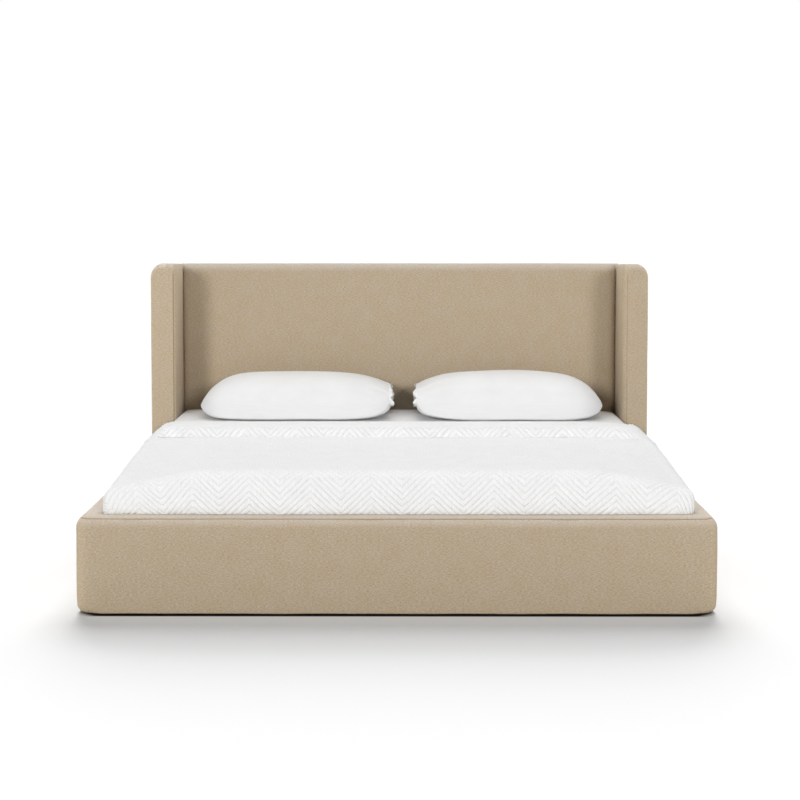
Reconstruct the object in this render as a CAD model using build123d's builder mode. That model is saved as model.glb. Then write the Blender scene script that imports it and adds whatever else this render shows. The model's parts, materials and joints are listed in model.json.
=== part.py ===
"""A king-size bed with a padded winged headboard, thick padded rails, a slatted base and its bedding.

Millimetres. X runs across the bed, Y from the foot to the headboard, Z up from the floor.
The origin is on the floor in the middle of the bed. Every piece is a solid of its own.
"""

import os

from build123d import *

# Mattress and bedding
mattress_width = 1930
mattress_length = 2030
mattress_height = 256
mattress_corner_radius = 60
mattress_edge_radius = 30
sheet_thickness = 1.2
sheet_drop = 200
coverlet_thickness = 10
coverlet_overhang = 28
coverlet_edge_radius = 52
coverlet_corner_radius = 90
coverlet_tuck = 90
coverlet_tuck_thickness = 8
turndown_length = 515
turndown_bare = 640
turndown_thickness = 13
turndown_spread = 8
pillow_length = 830
pillow_depth = 478
pillow_height = 196
pillow_gap = 90
pillow_shift = 18
pillow_headboard_gap = 6
pillow_corner_radius = 60
pillow_crown_radius = 95
pillow_seat_radius = 55

# Padded rails
rail_thickness = 95
rail_height = 325
rail_top_radius = 30
rail_foot_radius = 22
rail_corner_radius = 50
rail_lip_radius = 12
rail_board_thickness = 38
rail_top_padding = 25
rail_end_padding = 35
rail_gap = 13.5

# Headboard and wings
headboard_height = 1120
headboard_thickness = 100
headboard_padding = 30
headboard_top_radius = 36
headboard_top_padding = 25
headboard_face_board = 9
stile_width = 70
headboard_rail_height = 90
wing_projection = 260
wing_gap = 0.5
wing_top_radius = 50
wing_inner_radius = 15
wing_edge_radius = 14
wing_padding = 24
wing_window_margin = 70

# Fabric and clearances
cover_thickness = 2
layer_gap = 0.3
head_gap = 0.5

# Slatted base
deck_height = 212
slat_count = 12
slat_width = 95
slat_thickness = 20
slat_end_gap = 3
slat_first_gap = 12
slat_edge_radius = 3
ledger_width = 22
ledger_height = 40
lip_rise = 3
beam_width = 38
beam_height = 90

# Steel and plastic hardware
plate_thickness = 3
hook_plate_width = 28
hook_plate_height = 150
hook_spacing = 76
hook_thickness = 4
hook_neck = 16
hook_lip = 12
hook_reach = 9
hook_slot_gap = 0.5
hook_pocket_gap = 3
hanger_seat = 50
hanger_flange = 24
hanger_bend_radius = 2
leg_width = 38
leg_wall = 2
leg_flange_width = 60
leg_flange_length = 84
leg_flange_radius = 10
leg_plug = 15
leg_count = 3
leveller_radius = 21
leveller_pad = 10
leveller_edge = 3
leveller_stem = 5
leveller_stem_length = 45
leveller_clearance = 0.05
bolt_radius = 4
bolt_length = 112
bolt_head_width = 13
bolt_head_height = 6
bolt_clearance = 0.2
bolt_count = 3
glide_height = 8
glide_radius = 20
glide_taper = 10
glide_inset = 150

# Places across the bed
sheet_half_width = mattress_width / 2 + layer_gap + sheet_thickness
wing_inner_x = sheet_half_width + wing_gap
rail_inner_x = sheet_half_width + rail_gap
half_width = rail_inner_x + rail_thickness
board_inner_x = rail_inner_x + cover_thickness + layer_gap
board_outer_x = board_inner_x + rail_board_thickness
board_middle_x = (board_inner_x + board_outer_x) / 2
wing_frame_outer_x = half_width - wing_padding
headboard_half_width = board_inner_x - layer_gap

# Places along the bed
overall_length = (
    rail_thickness
    + rail_gap
    + mattress_length
    + 2 * (layer_gap + sheet_thickness)
    + head_gap
    + headboard_thickness
)
foot_y = -overall_length / 2
back_y = overall_length / 2
foot_joint_y = foot_y + rail_thickness
sheet_foot_y = foot_joint_y + rail_gap
mattress_foot_y = sheet_foot_y + sheet_thickness + layer_gap
mattress_middle_y = mattress_foot_y + mattress_length / 2
headboard_y = back_y - headboard_thickness
wing_front_y = headboard_y - wing_projection
foot_board_y = foot_joint_y - cover_thickness - layer_gap
frame_back_y = back_y - cover_thickness - layer_gap
face_board_y = headboard_y + cover_thickness + layer_gap + headboard_padding
frame_front_y = face_board_y + headboard_face_board

# Places above the floor
lip_z = deck_height + lip_rise
slat_bottom_z = deck_height - slat_thickness
sheet_top_z = deck_height + mattress_height + layer_gap + sheet_thickness
coverlet_top_z = sheet_top_z + layer_gap + coverlet_thickness
board_bottom_z = glide_height + rail_lip_radius + layer_gap
board_top_z = rail_height - rail_top_padding
frame_top_z = headboard_height - headboard_top_padding
hook_middle_z = (board_bottom_z + board_top_z) / 2

# The box that cuts a whole side away reaches this far past the bed
beyond = 2 * headboard_height


def across(y):
    """An upright plane across the bed at y, seen from the foot; a negative extrusion goes to the head."""
    return Plane.XZ.offset(-y)


def write(piece, name):
    piece.label = name
    export_step(piece, f"parts/{name}.step")


def write_pair(piece, name):
    """Writes the right-hand piece and its mirror image."""
    with BuildPart() as twin:
        mirror(piece, about=Plane.YZ)
    write(piece, f"{name}_right")
    write(twin.part, f"{name}_left")


def box_between(low, high):
    """A box from its lowest to its highest corner, for cutting or for a plain timber."""
    with BuildPart() as block:
        with Locations(low):
            Box(*(b - a for a, b in zip(low, high)), align=(Align.MIN,) * 3)
    return block.part


# Side rails: a board with padding over it and a fabric cover with a tucked lip
def side_rail_block(inset):
    """The padded side rail, taken in by inset on every padded face, as long as the padding."""
    with BuildPart() as block:
        with BuildSketch(across(foot_joint_y)) as section:
            with Locations((rail_inner_x + inset, glide_height + inset)):
                Rectangle(
                    rail_thickness - 2 * inset,
                    rail_height - glide_height - 2 * inset,
                    align=(Align.MIN, Align.MIN),
                )
            foot, *_, top = section.vertices().group_by(Axis.X)[-1].sort_by(Axis.Y)
            inner = section.vertices().group_by(Axis.X)[0].sort_by(Axis.Y)[-1]
            fillet(foot, rail_foot_radius - inset)
            fillet(top, rail_top_radius - inset)
            fillet(inner, rail_lip_radius - inset)
        extrude(amount=-(wing_front_y - foot_joint_y))
    return block.part


def side_rail_board():
    low = (board_inner_x, foot_board_y, board_bottom_z)
    high = (board_outer_x, wing_front_y, board_top_z)
    mortise = (hook_plate_width / 2, plate_thickness, hook_plate_height / 2)
    with BuildPart() as board:
        add(box_between(low, high))
        for end_y, inward in ((foot_board_y, 1), (wing_front_y, -1)):
            with Locations((board_middle_x, end_y + inward * mortise[1] / 2, hook_middle_z)):
                Box(2 * mortise[0], mortise[1], 2 * mortise[2], mode=Mode.SUBTRACT)
    return board.part


side_lip_cut = box_between(
    (rail_inner_x - 1, foot_joint_y - 1, board_bottom_z),
    (board_inner_x, wing_front_y + 1, lip_z),
)
side_board_room = box_between(
    (board_inner_x - layer_gap, foot_joint_y - 1, board_bottom_z - layer_gap),
    (board_outer_x + layer_gap, wing_front_y + 1, board_top_z + layer_gap),
)

with BuildPart() as side_rail_cover:
    add(side_rail_block(0))
    add(side_rail_block(cover_thickness), mode=Mode.SUBTRACT)
    add(side_lip_cut, mode=Mode.SUBTRACT)

with BuildPart() as side_rail_foam:
    add(side_rail_block(cover_thickness + layer_gap))
    add(side_board_room, mode=Mode.SUBTRACT)
    add(side_lip_cut, mode=Mode.SUBTRACT)


# Foot rail: the same build, with padded ends that turn the corners
def foot_rail_block(inset):
    """The padded foot rail, taken in by inset: rounded front corners in plan, then rounded rims."""
    with BuildPart() as block:
        with BuildSketch(Plane.XY.offset(glide_height + inset)) as plan:
            with Locations((0, foot_y + inset)):
                Rectangle(
                    2 * (half_width - inset),
                    rail_thickness - 2 * inset,
                    align=(Align.CENTER, Align.MIN),
                )
            fillet(plan.vertices().group_by(Axis.Y)[0], rail_corner_radius - inset)
        extrude(amount=rail_height - glide_height - 2 * inset)
        top_rim = block.faces().sort_by(Axis.Z)[-1].edges().sort_by(Axis.Y)[:-1]
        fillet(top_rim, rail_top_radius - inset)
        foot_rim = block.faces().sort_by(Axis.Z)[0].edges().sort_by(Axis.Y)[:-1]
        fillet(foot_rim, rail_foot_radius - inset)
        lip = block.faces().sort_by(Axis.Y)[-1].edges().group_by(Axis.Z)[-1]
        fillet(lip, rail_lip_radius - inset)
    return block.part


foot_board_half = half_width - rail_end_padding
foot_board_low = (-foot_board_half, foot_board_y - rail_board_thickness, board_bottom_z)
foot_board_high = (foot_board_half, foot_board_y, board_top_z)
foot_board_room = box_between(
    tuple(v - layer_gap for v in foot_board_low),
    (foot_board_half + layer_gap, foot_board_y + layer_gap, board_top_z + layer_gap),
)
foot_lip_cut = box_between(
    (-board_outer_x, foot_board_y, board_bottom_z), (board_outer_x, foot_joint_y + 1, lip_z)
)


def foot_rail_openings():
    """Cuts the lip away below the slats and where the side boards meet the foot board."""
    add(foot_lip_cut, mode=Mode.SUBTRACT)
    for side in (-1, 1):
        with Locations((side * board_middle_x, foot_joint_y, hook_middle_z)):
            Box(
                rail_board_thickness + 2 * layer_gap,
                2 * (foot_joint_y - foot_board_y),
                board_top_z - board_bottom_z + 2 * layer_gap,
                mode=Mode.SUBTRACT,
            )


with BuildPart() as foot_rail_cover:
    add(foot_rail_block(0))
    add(foot_rail_block(cover_thickness), mode=Mode.SUBTRACT)
    foot_rail_openings()

with BuildPart() as foot_rail_foam:
    add(foot_rail_block(cover_thickness + layer_gap))
    add(foot_board_room, mode=Mode.SUBTRACT)
    foot_rail_openings()


# Hook-on rail fasteners: a hooked plate in each rail end and a slotted plate in what it hangs on
def hook_heights():
    return (hook_middle_z - hook_spacing / 2, hook_middle_z + hook_spacing / 2)


def hook_plate(joint_y, outward):
    """A plate let into the rail's end at joint_y, with two hooks that point outward along Y."""
    with BuildPart() as plate:
        with Locations((board_middle_x, joint_y - outward * plate_thickness / 2, hook_middle_z)):
            Box(hook_plate_width, plate_thickness, hook_plate_height)
        for z in hook_heights():
            with BuildSketch(Plane.YZ.offset(board_middle_x - hook_thickness / 2)):
                with BuildLine():
                    nose = joint_y + outward * hook_reach
                    throat = joint_y + outward * (plate_thickness + layer_gap)
                    Polyline(
                        (joint_y, z),
                        (throat, z),
                        (throat, z - hook_lip),
                        (nose, z - hook_lip + hook_thickness),
                        (nose, z + hook_neck - hook_thickness),
                        (throat, z + hook_neck),
                        (joint_y, z + hook_neck),
                        close=True,
                    )
                make_face()
            extrude(amount=hook_thickness)
    return plate.part


def slot_plate(joint_y, outward):
    """The plate that takes the hooks, let in flush behind joint_y, with a slot for each hook."""
    slot_height = hook_neck + hook_lip + 2 * hook_slot_gap
    with BuildPart() as plate:
        with Locations((board_middle_x, joint_y + outward * plate_thickness / 2, hook_middle_z)):
            Box(hook_plate_width, plate_thickness, hook_plate_height)
        for z in hook_heights():
            slot_middle = (board_middle_x, joint_y, z - layer_gap + slot_height / 2)
            with Locations(slot_middle):
                Box(
                    hook_thickness + 2 * hook_slot_gap,
                    4 * plate_thickness,
                    slot_height,
                    mode=Mode.SUBTRACT,
                )
    return plate.part


def slot_plate_room(joint_y, outward, x):
    """The mortise for a slotted plate and the pockets behind it where the hooks drop."""
    pocket_height = hook_neck + 2 * hook_lip + 2 * hook_pocket_gap
    pocket_depth = hook_reach + hook_pocket_gap
    with BuildPart() as room:
        with Locations((x, joint_y + outward * plate_thickness / 2, hook_middle_z)):
            Box(hook_plate_width, plate_thickness, hook_plate_height)
        for z in hook_heights():
            middle_z = z - hook_lip - hook_pocket_gap + pocket_height / 2
            with Locations((x, joint_y + outward * pocket_depth / 2, middle_z)):
                Box(hook_thickness + 2 * hook_pocket_gap, pocket_depth, pocket_height)
    return room.part


with BuildPart() as rail_hook_plates:
    add(hook_plate(foot_board_y, -1))
    add(hook_plate(wing_front_y, 1))
    mirror(about=Plane.YZ)

with BuildPart() as rail_slot_plates:
    add(slot_plate(foot_board_y, -1))
    add(slot_plate(wing_front_y, 1))
    mirror(about=Plane.YZ)

with BuildPart() as foot_rail_board:
    add(box_between(foot_board_low, foot_board_high))
    for side in (-1, 1):
        add(slot_plate_room(foot_board_y, -1, side * board_middle_x), mode=Mode.SUBTRACT)


# Wings: a timber frame with windows, padded on both faces and over the front and the top
def wing_block(inset):
    """The padded wing, taken in by inset; its back and its foot are left open."""
    with BuildPart() as block:
        with BuildSketch(across(wing_front_y + inset)) as outline:
            with Locations((wing_inner_x + inset, glide_height)):
                Rectangle(
                    half_width - wing_inner_x - 2 * inset,
                    headboard_height - glide_height - inset,
                    align=(Align.MIN, Align.MIN),
                )
            top = outline.vertices().group_by(Axis.Y)[-1].sort_by(Axis.X)
            fillet(top[-1], wing_top_radius - inset)
            fillet(outline.vertices().group_by(Axis.Y)[-1].sort_by(Axis.X)[0], wing_inner_radius - inset)
        extrude(amount=-(back_y - wing_front_y - inset))
        front = block.faces().sort_by(Axis.Y)[0]
        edges = front.edges().sort_by(Axis.Z)[1:]
        fillet(edges, wing_edge_radius - inset)
    return block.part


# The headboard's end and the open foot of the wing, taken out of the wing's padding
wing_notch = box_between(
    (wing_inner_x - 1, headboard_y - layer_gap, 0), (board_inner_x, back_y + 1, beyond)
)
wing_lip_cut = box_between(
    (wing_inner_x - 1, wing_front_y - 1, 0), (board_inner_x, back_y + 1, lip_z)
)


def wing_frame_block(grow):
    """The wing's timber panel, grown by grow: its foot reaches forward to meet the side rail."""
    with BuildPart() as panel:
        with BuildSketch(Plane.YZ.offset(board_inner_x)):
            with BuildLine():
                Polyline(
                    (wing_front_y - grow, glide_height),
                    (wing_front_y - grow, board_top_z + grow),
                    (wing_front_y + wing_padding - grow, board_top_z + grow),
                    (wing_front_y + wing_padding - grow, frame_top_z + grow),
                    (frame_back_y + grow, frame_top_z + grow),
                    (frame_back_y + grow, glide_height),
                    close=True,
                )
            make_face()
        extrude(amount=wing_frame_outer_x - board_inner_x + grow)
    return panel.part


def bolt_places():
    """Where the headboard's stiles are bolted to the wings, as (y, z) pairs."""
    middle_y = (frame_front_y + frame_back_y) / 2
    lowest = lip_z
    rise = (frame_top_z - headboard_rail_height - lowest) / bolt_count
    return [(middle_y, lowest + rise * (i + 0.5)) for i in range(bolt_count)]


def bolt_holes(radius, reach):
    """Holes along X for the wing bolts, from the stile's inner face over reach."""
    with BuildPart() as holes:
        with BuildSketch(Plane.YZ.offset(board_inner_x - stile_width)):
            with Locations(*bolt_places()):
                Circle(radius)
        extrude(amount=reach)
    return holes.part


wing_windows_foot = board_top_z + wing_window_margin
wing_windows_top = frame_top_z - wing_window_margin
wing_window_split = (wing_windows_foot + wing_windows_top) / 2

with BuildPart() as wing_frame:
    add(wing_frame_block(0))
    add(slot_plate_room(wing_front_y, 1, board_middle_x), mode=Mode.SUBTRACT)
    window_y = wing_front_y + wing_padding + wing_window_margin
    window_end = headboard_y - wing_window_margin / 2
    for low_z, high_z in (
        (wing_windows_foot, wing_window_split - wing_window_margin / 2),
        (wing_window_split + wing_window_margin / 2, wing_windows_top),
    ):
        window = box_between((0, window_y, low_z), (beyond, window_end, high_z))
        add(window, mode=Mode.SUBTRACT)
    add(bolt_holes(bolt_radius + bolt_clearance, bolt_length + bolt_clearance), mode=Mode.SUBTRACT)

with BuildPart() as wing_cover:
    add(wing_block(0))
    add(wing_block(cover_thickness), mode=Mode.SUBTRACT)
    add(wing_frame_block(layer_gap), mode=Mode.SUBTRACT)
    add(wing_notch, mode=Mode.SUBTRACT)
    add(wing_lip_cut, mode=Mode.SUBTRACT)

with BuildPart() as wing_foam:
    add(wing_block(cover_thickness + layer_gap))
    add(wing_frame_block(layer_gap), mode=Mode.SUBTRACT)
    add(wing_notch, mode=Mode.SUBTRACT)
    add(wing_lip_cut, mode=Mode.SUBTRACT)
    behind_frame = box_between((0, frame_back_y - 1, 0), (beyond, back_y + 1, beyond))
    add(behind_frame, mode=Mode.SUBTRACT)


# Headboard: a timber frame with a face board, padding over its front and top, and two covers
def headboard_block(inset):
    """The padded headboard between the wings, taken in by inset; its back and foot are left open."""
    with BuildPart() as block:
        with BuildSketch(Plane.YZ) as section:
            with Locations((headboard_y + inset, lip_z)):
                Rectangle(
                    headboard_thickness - inset,
                    headboard_height - inset - lip_z,
                    align=(Align.MIN, Align.MIN),
                )
            front_top = section.vertices().group_by(Axis.Y)[-1].sort_by(Axis.X)[0]
            fillet(front_top, headboard_top_radius - inset)
        extrude(amount=headboard_half_width, both=True)
    return block.part


frame_room = box_between(
    (-beyond, face_board_y, 0), (beyond, back_y + 1, frame_top_z + layer_gap)
)

with BuildPart() as headboard_cover:
    add(headboard_block(0))
    add(headboard_block(cover_thickness), mode=Mode.SUBTRACT)

with BuildPart() as headboard_foam:
    add(headboard_block(cover_thickness + layer_gap))
    add(frame_room, mode=Mode.SUBTRACT)
    add(box_between((-beyond, frame_back_y, 0), (beyond, back_y + 1, beyond)), mode=Mode.SUBTRACT)

headboard_face = box_between(
    (-headboard_half_width, face_board_y, lip_z),
    (headboard_half_width, frame_front_y, frame_top_z),
)

stile_inner_x = board_inner_x - stile_width
with BuildPart() as headboard_stile:
    stile_low = (stile_inner_x, frame_front_y, glide_height)
    add(box_between(stile_low, (board_inner_x, frame_back_y, frame_top_z)))
    add(bolt_holes(bolt_radius + bolt_clearance, stile_width), mode=Mode.SUBTRACT)

bottom_rail_top = slat_bottom_z + lip_rise
bottom_rail_bottom = bottom_rail_top - headboard_rail_height - lip_rise
headboard_bottom_rail = box_between(
    (-stile_inner_x, frame_front_y, bottom_rail_bottom),
    (stile_inner_x, frame_back_y, bottom_rail_top),
)
headboard_top_rail = box_between(
    (-stile_inner_x, frame_front_y, frame_top_z - headboard_rail_height),
    (stile_inner_x, frame_back_y, frame_top_z),
)
headboard_centre_stile = box_between(
    (-stile_width / 2, frame_front_y, bottom_rail_top),
    (stile_width / 2, frame_back_y, frame_top_z - headboard_rail_height),
)

with BuildPart() as headboard_back_cover:
    back_inset = cover_thickness + layer_gap
    with BuildSketch(across(back_y - cover_thickness)) as back_outline:
        with Locations((0, glide_height)):
            Rectangle(
                2 * (half_width - back_inset),
                headboard_height - back_inset - glide_height,
                align=(Align.CENTER, Align.MIN),
            )
        fillet(back_outline.vertices().group_by(Axis.Y)[-1], wing_top_radius - back_inset)
    extrude(amount=-cover_thickness)

with BuildPart() as wing_bolts:
    with BuildSketch(Plane.YZ.offset(stile_inner_x)):
        with Locations(*bolt_places()):
            Circle(bolt_radius)
    extrude(amount=bolt_length)
    with BuildSketch(Plane.YZ.offset(stile_inner_x)):
        with Locations(*bolt_places()):
            RegularPolygon(bolt_head_width / 2, 6, major_radius=False)
    extrude(amount=-bolt_head_height)
    mirror(about=Plane.YZ)


# Slatted base: ledgers on the rails, a centre beam on legs, and slats across them
ledger = box_between(
    (board_inner_x - ledger_width, foot_board_y, slat_bottom_z - ledger_height),
    (board_inner_x, frame_front_y, slat_bottom_z),
)

beam_foot_y = foot_board_y + plate_thickness + layer_gap
beam_head_y = frame_front_y - plate_thickness - layer_gap
beam_bottom_z = slat_bottom_z - beam_height
centre_beam = box_between(
    (-beam_width / 2, beam_foot_y, beam_bottom_z), (beam_width / 2, beam_head_y, slat_bottom_z)
)


def slat(middle_y):
    with BuildPart() as board:
        with Locations((0, middle_y, deck_height - slat_thickness / 2)):
            Box(2 * (board_inner_x - slat_end_gap), slat_width, slat_thickness)
        fillet(board.edges().filter_by(Axis.X), slat_edge_radius)
    return board.part


first_slat_y = mattress_foot_y + slat_first_gap + slat_width / 2
slat_pitch = (mattress_length - 2 * slat_first_gap - slat_width) / (slat_count - 1)


def beam_hanger(wall_y, inward):
    """A bent steel stirrup on the wall at wall_y that holds the end of the centre beam."""
    inner_half = beam_width / 2 + layer_gap
    outer_half = inner_half + plate_thickness
    seat_z = beam_bottom_z - layer_gap
    with BuildPart() as hanger:
        with Locations((0, wall_y + inward * plate_thickness / 2, (seat_z + slat_bottom_z) / 2)):
            Box(2 * (outer_half + hanger_flange), plate_thickness, slat_bottom_z - seat_z)
        stirrup_middle = wall_y + inward * hanger_seat / 2
        with Locations((0, stirrup_middle, (seat_z - plate_thickness + slat_bottom_z) / 2)):
            Box(2 * outer_half, hanger_seat, slat_bottom_z - seat_z + plate_thickness)
        bends = hanger.edges().filter_by(Axis.Y).group_by(Axis.Z)[0]
        fillet(bends, hanger_bend_radius)
        channel_y = sorted((wall_y + inward * plate_thickness, wall_y + inward * 2 * hanger_seat))
        channel = box_between(
            (-inner_half, channel_y[0], seat_z), (inner_half, channel_y[1], slat_bottom_z + 1)
        )
        add(channel, mode=Mode.SUBTRACT)
    return hanger.part


leg_foot_z = leveller_pad + layer_gap


def centre_leg(y):
    """A square tube leg with a flange under the beam and a plug with a threaded hole at its foot."""
    with BuildPart() as leg:
        with BuildSketch(Plane.XY.offset(leg_foot_z)):
            with Locations((0, y)):
                Rectangle(leg_width, leg_width)
        extrude(amount=beam_bottom_z - plate_thickness - leg_foot_z)
        with BuildSketch(Plane.XY.offset(leg_foot_z + leg_plug)):
            with Locations((0, y)):
                Rectangle(leg_width - 2 * leg_wall, leg_width - 2 * leg_wall)
        extrude(amount=beam_bottom_z - plate_thickness - leg_foot_z - leg_plug, mode=Mode.SUBTRACT)
        with BuildSketch(Plane.XY.offset(leg_foot_z)):
            with Locations((0, y)):
                Circle(leveller_stem + leveller_clearance)
        extrude(amount=leg_plug, mode=Mode.SUBTRACT)
        with BuildSketch(Plane.XY.offset(beam_bottom_z - plate_thickness)):
            with Locations((0, y)):
                RectangleRounded(leg_flange_width, leg_flange_length, leg_flange_radius)
        extrude(amount=plate_thickness)
    return leg.part


def levelling_foot(y):
    """A screw foot: a six-sided pad that a spanner turns, and its stem, up inside the leg."""
    with BuildPart() as foot:
        with BuildSketch():
            with Locations((0, y)):
                RegularPolygon(leveller_radius, 6)
        extrude(amount=leveller_pad)
        chamfer(foot.edges().group_by(Axis.Z)[-1], leveller_edge)
        with Locations((0, y, leveller_pad)):
            Cylinder(
                leveller_stem, leveller_stem_length, align=(Align.CENTER, Align.CENTER, Align.MIN)
            )
    return foot.part


leg_spacing = (beam_head_y - beam_foot_y) / (leg_count + 1)
leg_places = [beam_foot_y + leg_spacing * (i + 1) for i in range(leg_count)]


# Nail-on glides under the rails, the wings and the headboard
def glide_places():
    middle_y = (foot_joint_y + wing_front_y) / 2
    board_y = foot_board_y - rail_board_thickness / 2
    wing_x = (board_inner_x + wing_frame_outer_x) / 2
    stile_y = (frame_front_y + frame_back_y) / 2
    along = (foot_joint_y + glide_inset, middle_y, wing_front_y - glide_inset)
    rails = [(side * board_middle_x, y) for side in (-1, 1) for y in along]
    foot = [(x, board_y) for x in (-rail_inner_x + glide_inset, 0, rail_inner_x - glide_inset)]
    wings = [(side * wing_x, y) for side in (-1, 1) for y in (wing_front_y + glide_inset, stile_y)]
    return rails + foot + wings


with BuildPart() as floor_glides:
    with BuildSketch(Plane.XY.offset(glide_height)):
        with Locations(*glide_places()):
            Circle(glide_radius)
    extrude(amount=-glide_height, taper=glide_taper)


# Mattress, fitted sheet and coverlet
def mattress_block(grow):
    """The mattress grown by grow on every face, with rounded corners and edges."""
    with BuildPart() as block:
        with BuildSketch(Plane.XY.offset(deck_height - grow)):
            with Locations((0, mattress_middle_y)):
                RectangleRounded(
                    mattress_width + 2 * grow,
                    mattress_length + 2 * grow,
                    mattress_corner_radius + grow,
                )
        extrude(amount=mattress_height + 2 * grow)
        rims = block.faces().filter_by(Axis.Z).edges()
        fillet(rims, mattress_edge_radius + grow)
    return block.part


mattress = mattress_block(0)
sheet_hem_z = sheet_top_z - sheet_drop
below_hem = box_between((-beyond, -beyond, -1), (beyond, beyond, sheet_hem_z))

with BuildPart() as fitted_sheet:
    add(mattress_block(layer_gap + sheet_thickness))
    add(mattress_block(layer_gap), mode=Mode.SUBTRACT)
    add(below_hem, mode=Mode.SUBTRACT)

drape_x = rail_inner_x + coverlet_overhang
drape_foot_y = foot_joint_y - coverlet_overhang + layer_gap
drape_z = rail_height + layer_gap
turndown_back_y = headboard_y - turndown_bare
turndown_front_y = turndown_back_y - turndown_length


def drape(half, front_y, top_z, edge_radius):
    """Cloth over the mattress down to the rails, from front_y back to the folded edge."""
    with BuildPart() as cloth:
        with BuildSketch(Plane.XY.offset(drape_z)) as plan:
            with Locations((0, front_y)):
                Rectangle(2 * half, turndown_back_y - front_y, align=(Align.CENTER, Align.MIN))
            if front_y == drape_foot_y:
                fillet(plan.vertices().group_by(Axis.Y)[0], coverlet_corner_radius)
        extrude(amount=top_z - drape_z)
        rims = cloth.faces().sort_by(Axis.Z)[-1].edges().sort_by(Axis.Y)[:-1]
        if front_y != drape_foot_y:
            rims = rims.filter_by(Axis.Y)
        fillet(rims, edge_radius)
    return cloth.part


tuck_x = sheet_half_width + layer_gap + coverlet_tuck_thickness
tuck_foot_y = sheet_foot_y - layer_gap - coverlet_tuck_thickness

with BuildPart() as coverlet:
    add(drape(drape_x, drape_foot_y, coverlet_top_z, coverlet_edge_radius))
    add(
        drape(
            drape_x + turndown_spread,
            turndown_front_y,
            coverlet_top_z + turndown_thickness,
            coverlet_edge_radius + turndown_spread,
        )
    )
    with BuildSketch(Plane.XY.offset(drape_z)) as tuck_plan:
        with Locations((0, tuck_foot_y)):
            Rectangle(2 * tuck_x, turndown_back_y - tuck_foot_y, align=(Align.CENTER, Align.MIN))
        fillet(tuck_plan.vertices().group_by(Axis.Y)[0], mattress_corner_radius)
    extrude(amount=-coverlet_tuck)
    add(mattress_block(2 * layer_gap + sheet_thickness), mode=Mode.SUBTRACT)


# Pillows: what is left of a rounded oblong that is also rounded from the front and from the side
def pillow(middle_x):
    """A plump pillow: fuller over its crown than at its seat, and flat where it lies on the sheet."""
    middle_y = headboard_y - pillow_headboard_gap - pillow_depth / 2
    seat_z = sheet_top_z + layer_gap
    front = (across(middle_y), middle_x, pillow_length)
    side = (Plane.YZ.offset(middle_x), middle_y, pillow_depth)
    with BuildPart() as cushion:
        with BuildSketch(Plane.XY.offset(seat_z)):
            with Locations((middle_x, middle_y)):
                RectangleRounded(pillow_length, pillow_depth, pillow_corner_radius)
        extrude(amount=pillow_height)
        for plane, middle, width in (front, side):
            with BuildSketch(plane) as view:
                with Locations((middle, seat_z)):
                    Rectangle(width, pillow_height, align=(Align.CENTER, Align.MIN))
                fillet(view.vertices().group_by(Axis.Y)[-1], pillow_crown_radius)
                fillet(view.vertices().group_by(Axis.Y)[0], pillow_seat_radius)
            extrude(amount=pillow_length, both=True, mode=Mode.INTERSECT)
    return cushion.part


pillow_x = (pillow_length + pillow_gap) / 2

# Write every piece to its own file
os.makedirs("parts", exist_ok=True)

write_pair(side_rail_board(), "side_rail_board")
write_pair(side_rail_foam.part, "side_rail_foam")
write_pair(side_rail_cover.part, "side_rail_cover")
write(foot_rail_board.part, "foot_rail_board")
write(foot_rail_foam.part, "foot_rail_foam")
write(foot_rail_cover.part, "foot_rail_cover")
write(rail_hook_plates.part, "rail_hook_plates")
write(rail_slot_plates.part, "rail_slot_plates")

write_pair(wing_frame.part, "wing_frame")
write_pair(wing_foam.part, "wing_foam")
write_pair(wing_cover.part, "wing_cover")
write_pair(headboard_stile.part, "headboard_stile")
write(headboard_centre_stile, "headboard_centre_stile")
write(headboard_bottom_rail, "headboard_bottom_rail")
write(headboard_top_rail, "headboard_top_rail")
write(headboard_face, "headboard_face_board")
write(headboard_foam.part, "headboard_foam")
write(headboard_cover.part, "headboard_cover")
write(headboard_back_cover.part, "headboard_back_cover")
write(wing_bolts.part, "wing_bolts")

write_pair(ledger, "slat_ledger")
write(centre_beam, "centre_beam")
write(beam_hanger(foot_board_y, 1), "beam_hanger_foot")
write(beam_hanger(frame_front_y, -1), "beam_hanger_head")
for number, leg_y in enumerate(leg_places, 1):
    write(centre_leg(leg_y), f"centre_leg_{number}")
    write(levelling_foot(leg_y), f"levelling_foot_{number}")
for number in range(slat_count):
    write(slat(first_slat_y + number * slat_pitch), f"slat_{number + 1:02d}")
write(floor_glides.part, "floor_glides")

write(mattress, "mattress")
write(fitted_sheet.part, "fitted_sheet")
write(coverlet.part, "coverlet")
write(pillow(pillow_shift - pillow_x), "pillow_left")
write(pillow(pillow_shift + pillow_x), "pillow_right")
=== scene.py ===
# %% [markdown]
# # A padded, winged bed with white bedding
#
# The bed's construction is already built to size: boards, foam, slats, steel and the plain solids of
# everything soft. This lesson dresses it. The fabric covers, the quilted coverlet, the sheet and the
# pillows are modelled here, and the timber and steel pieces of the frame get their finishes. Every new
# piece takes its place from the frame, so nothing has to be fitted by eye afterwards.

# %% Load the frame
import json
from math import asin, atan, atan2, copysign, cos, hypot, pi, radians, sin, sqrt, tan

import bmesh
import bpy
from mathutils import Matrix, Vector, noise


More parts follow.
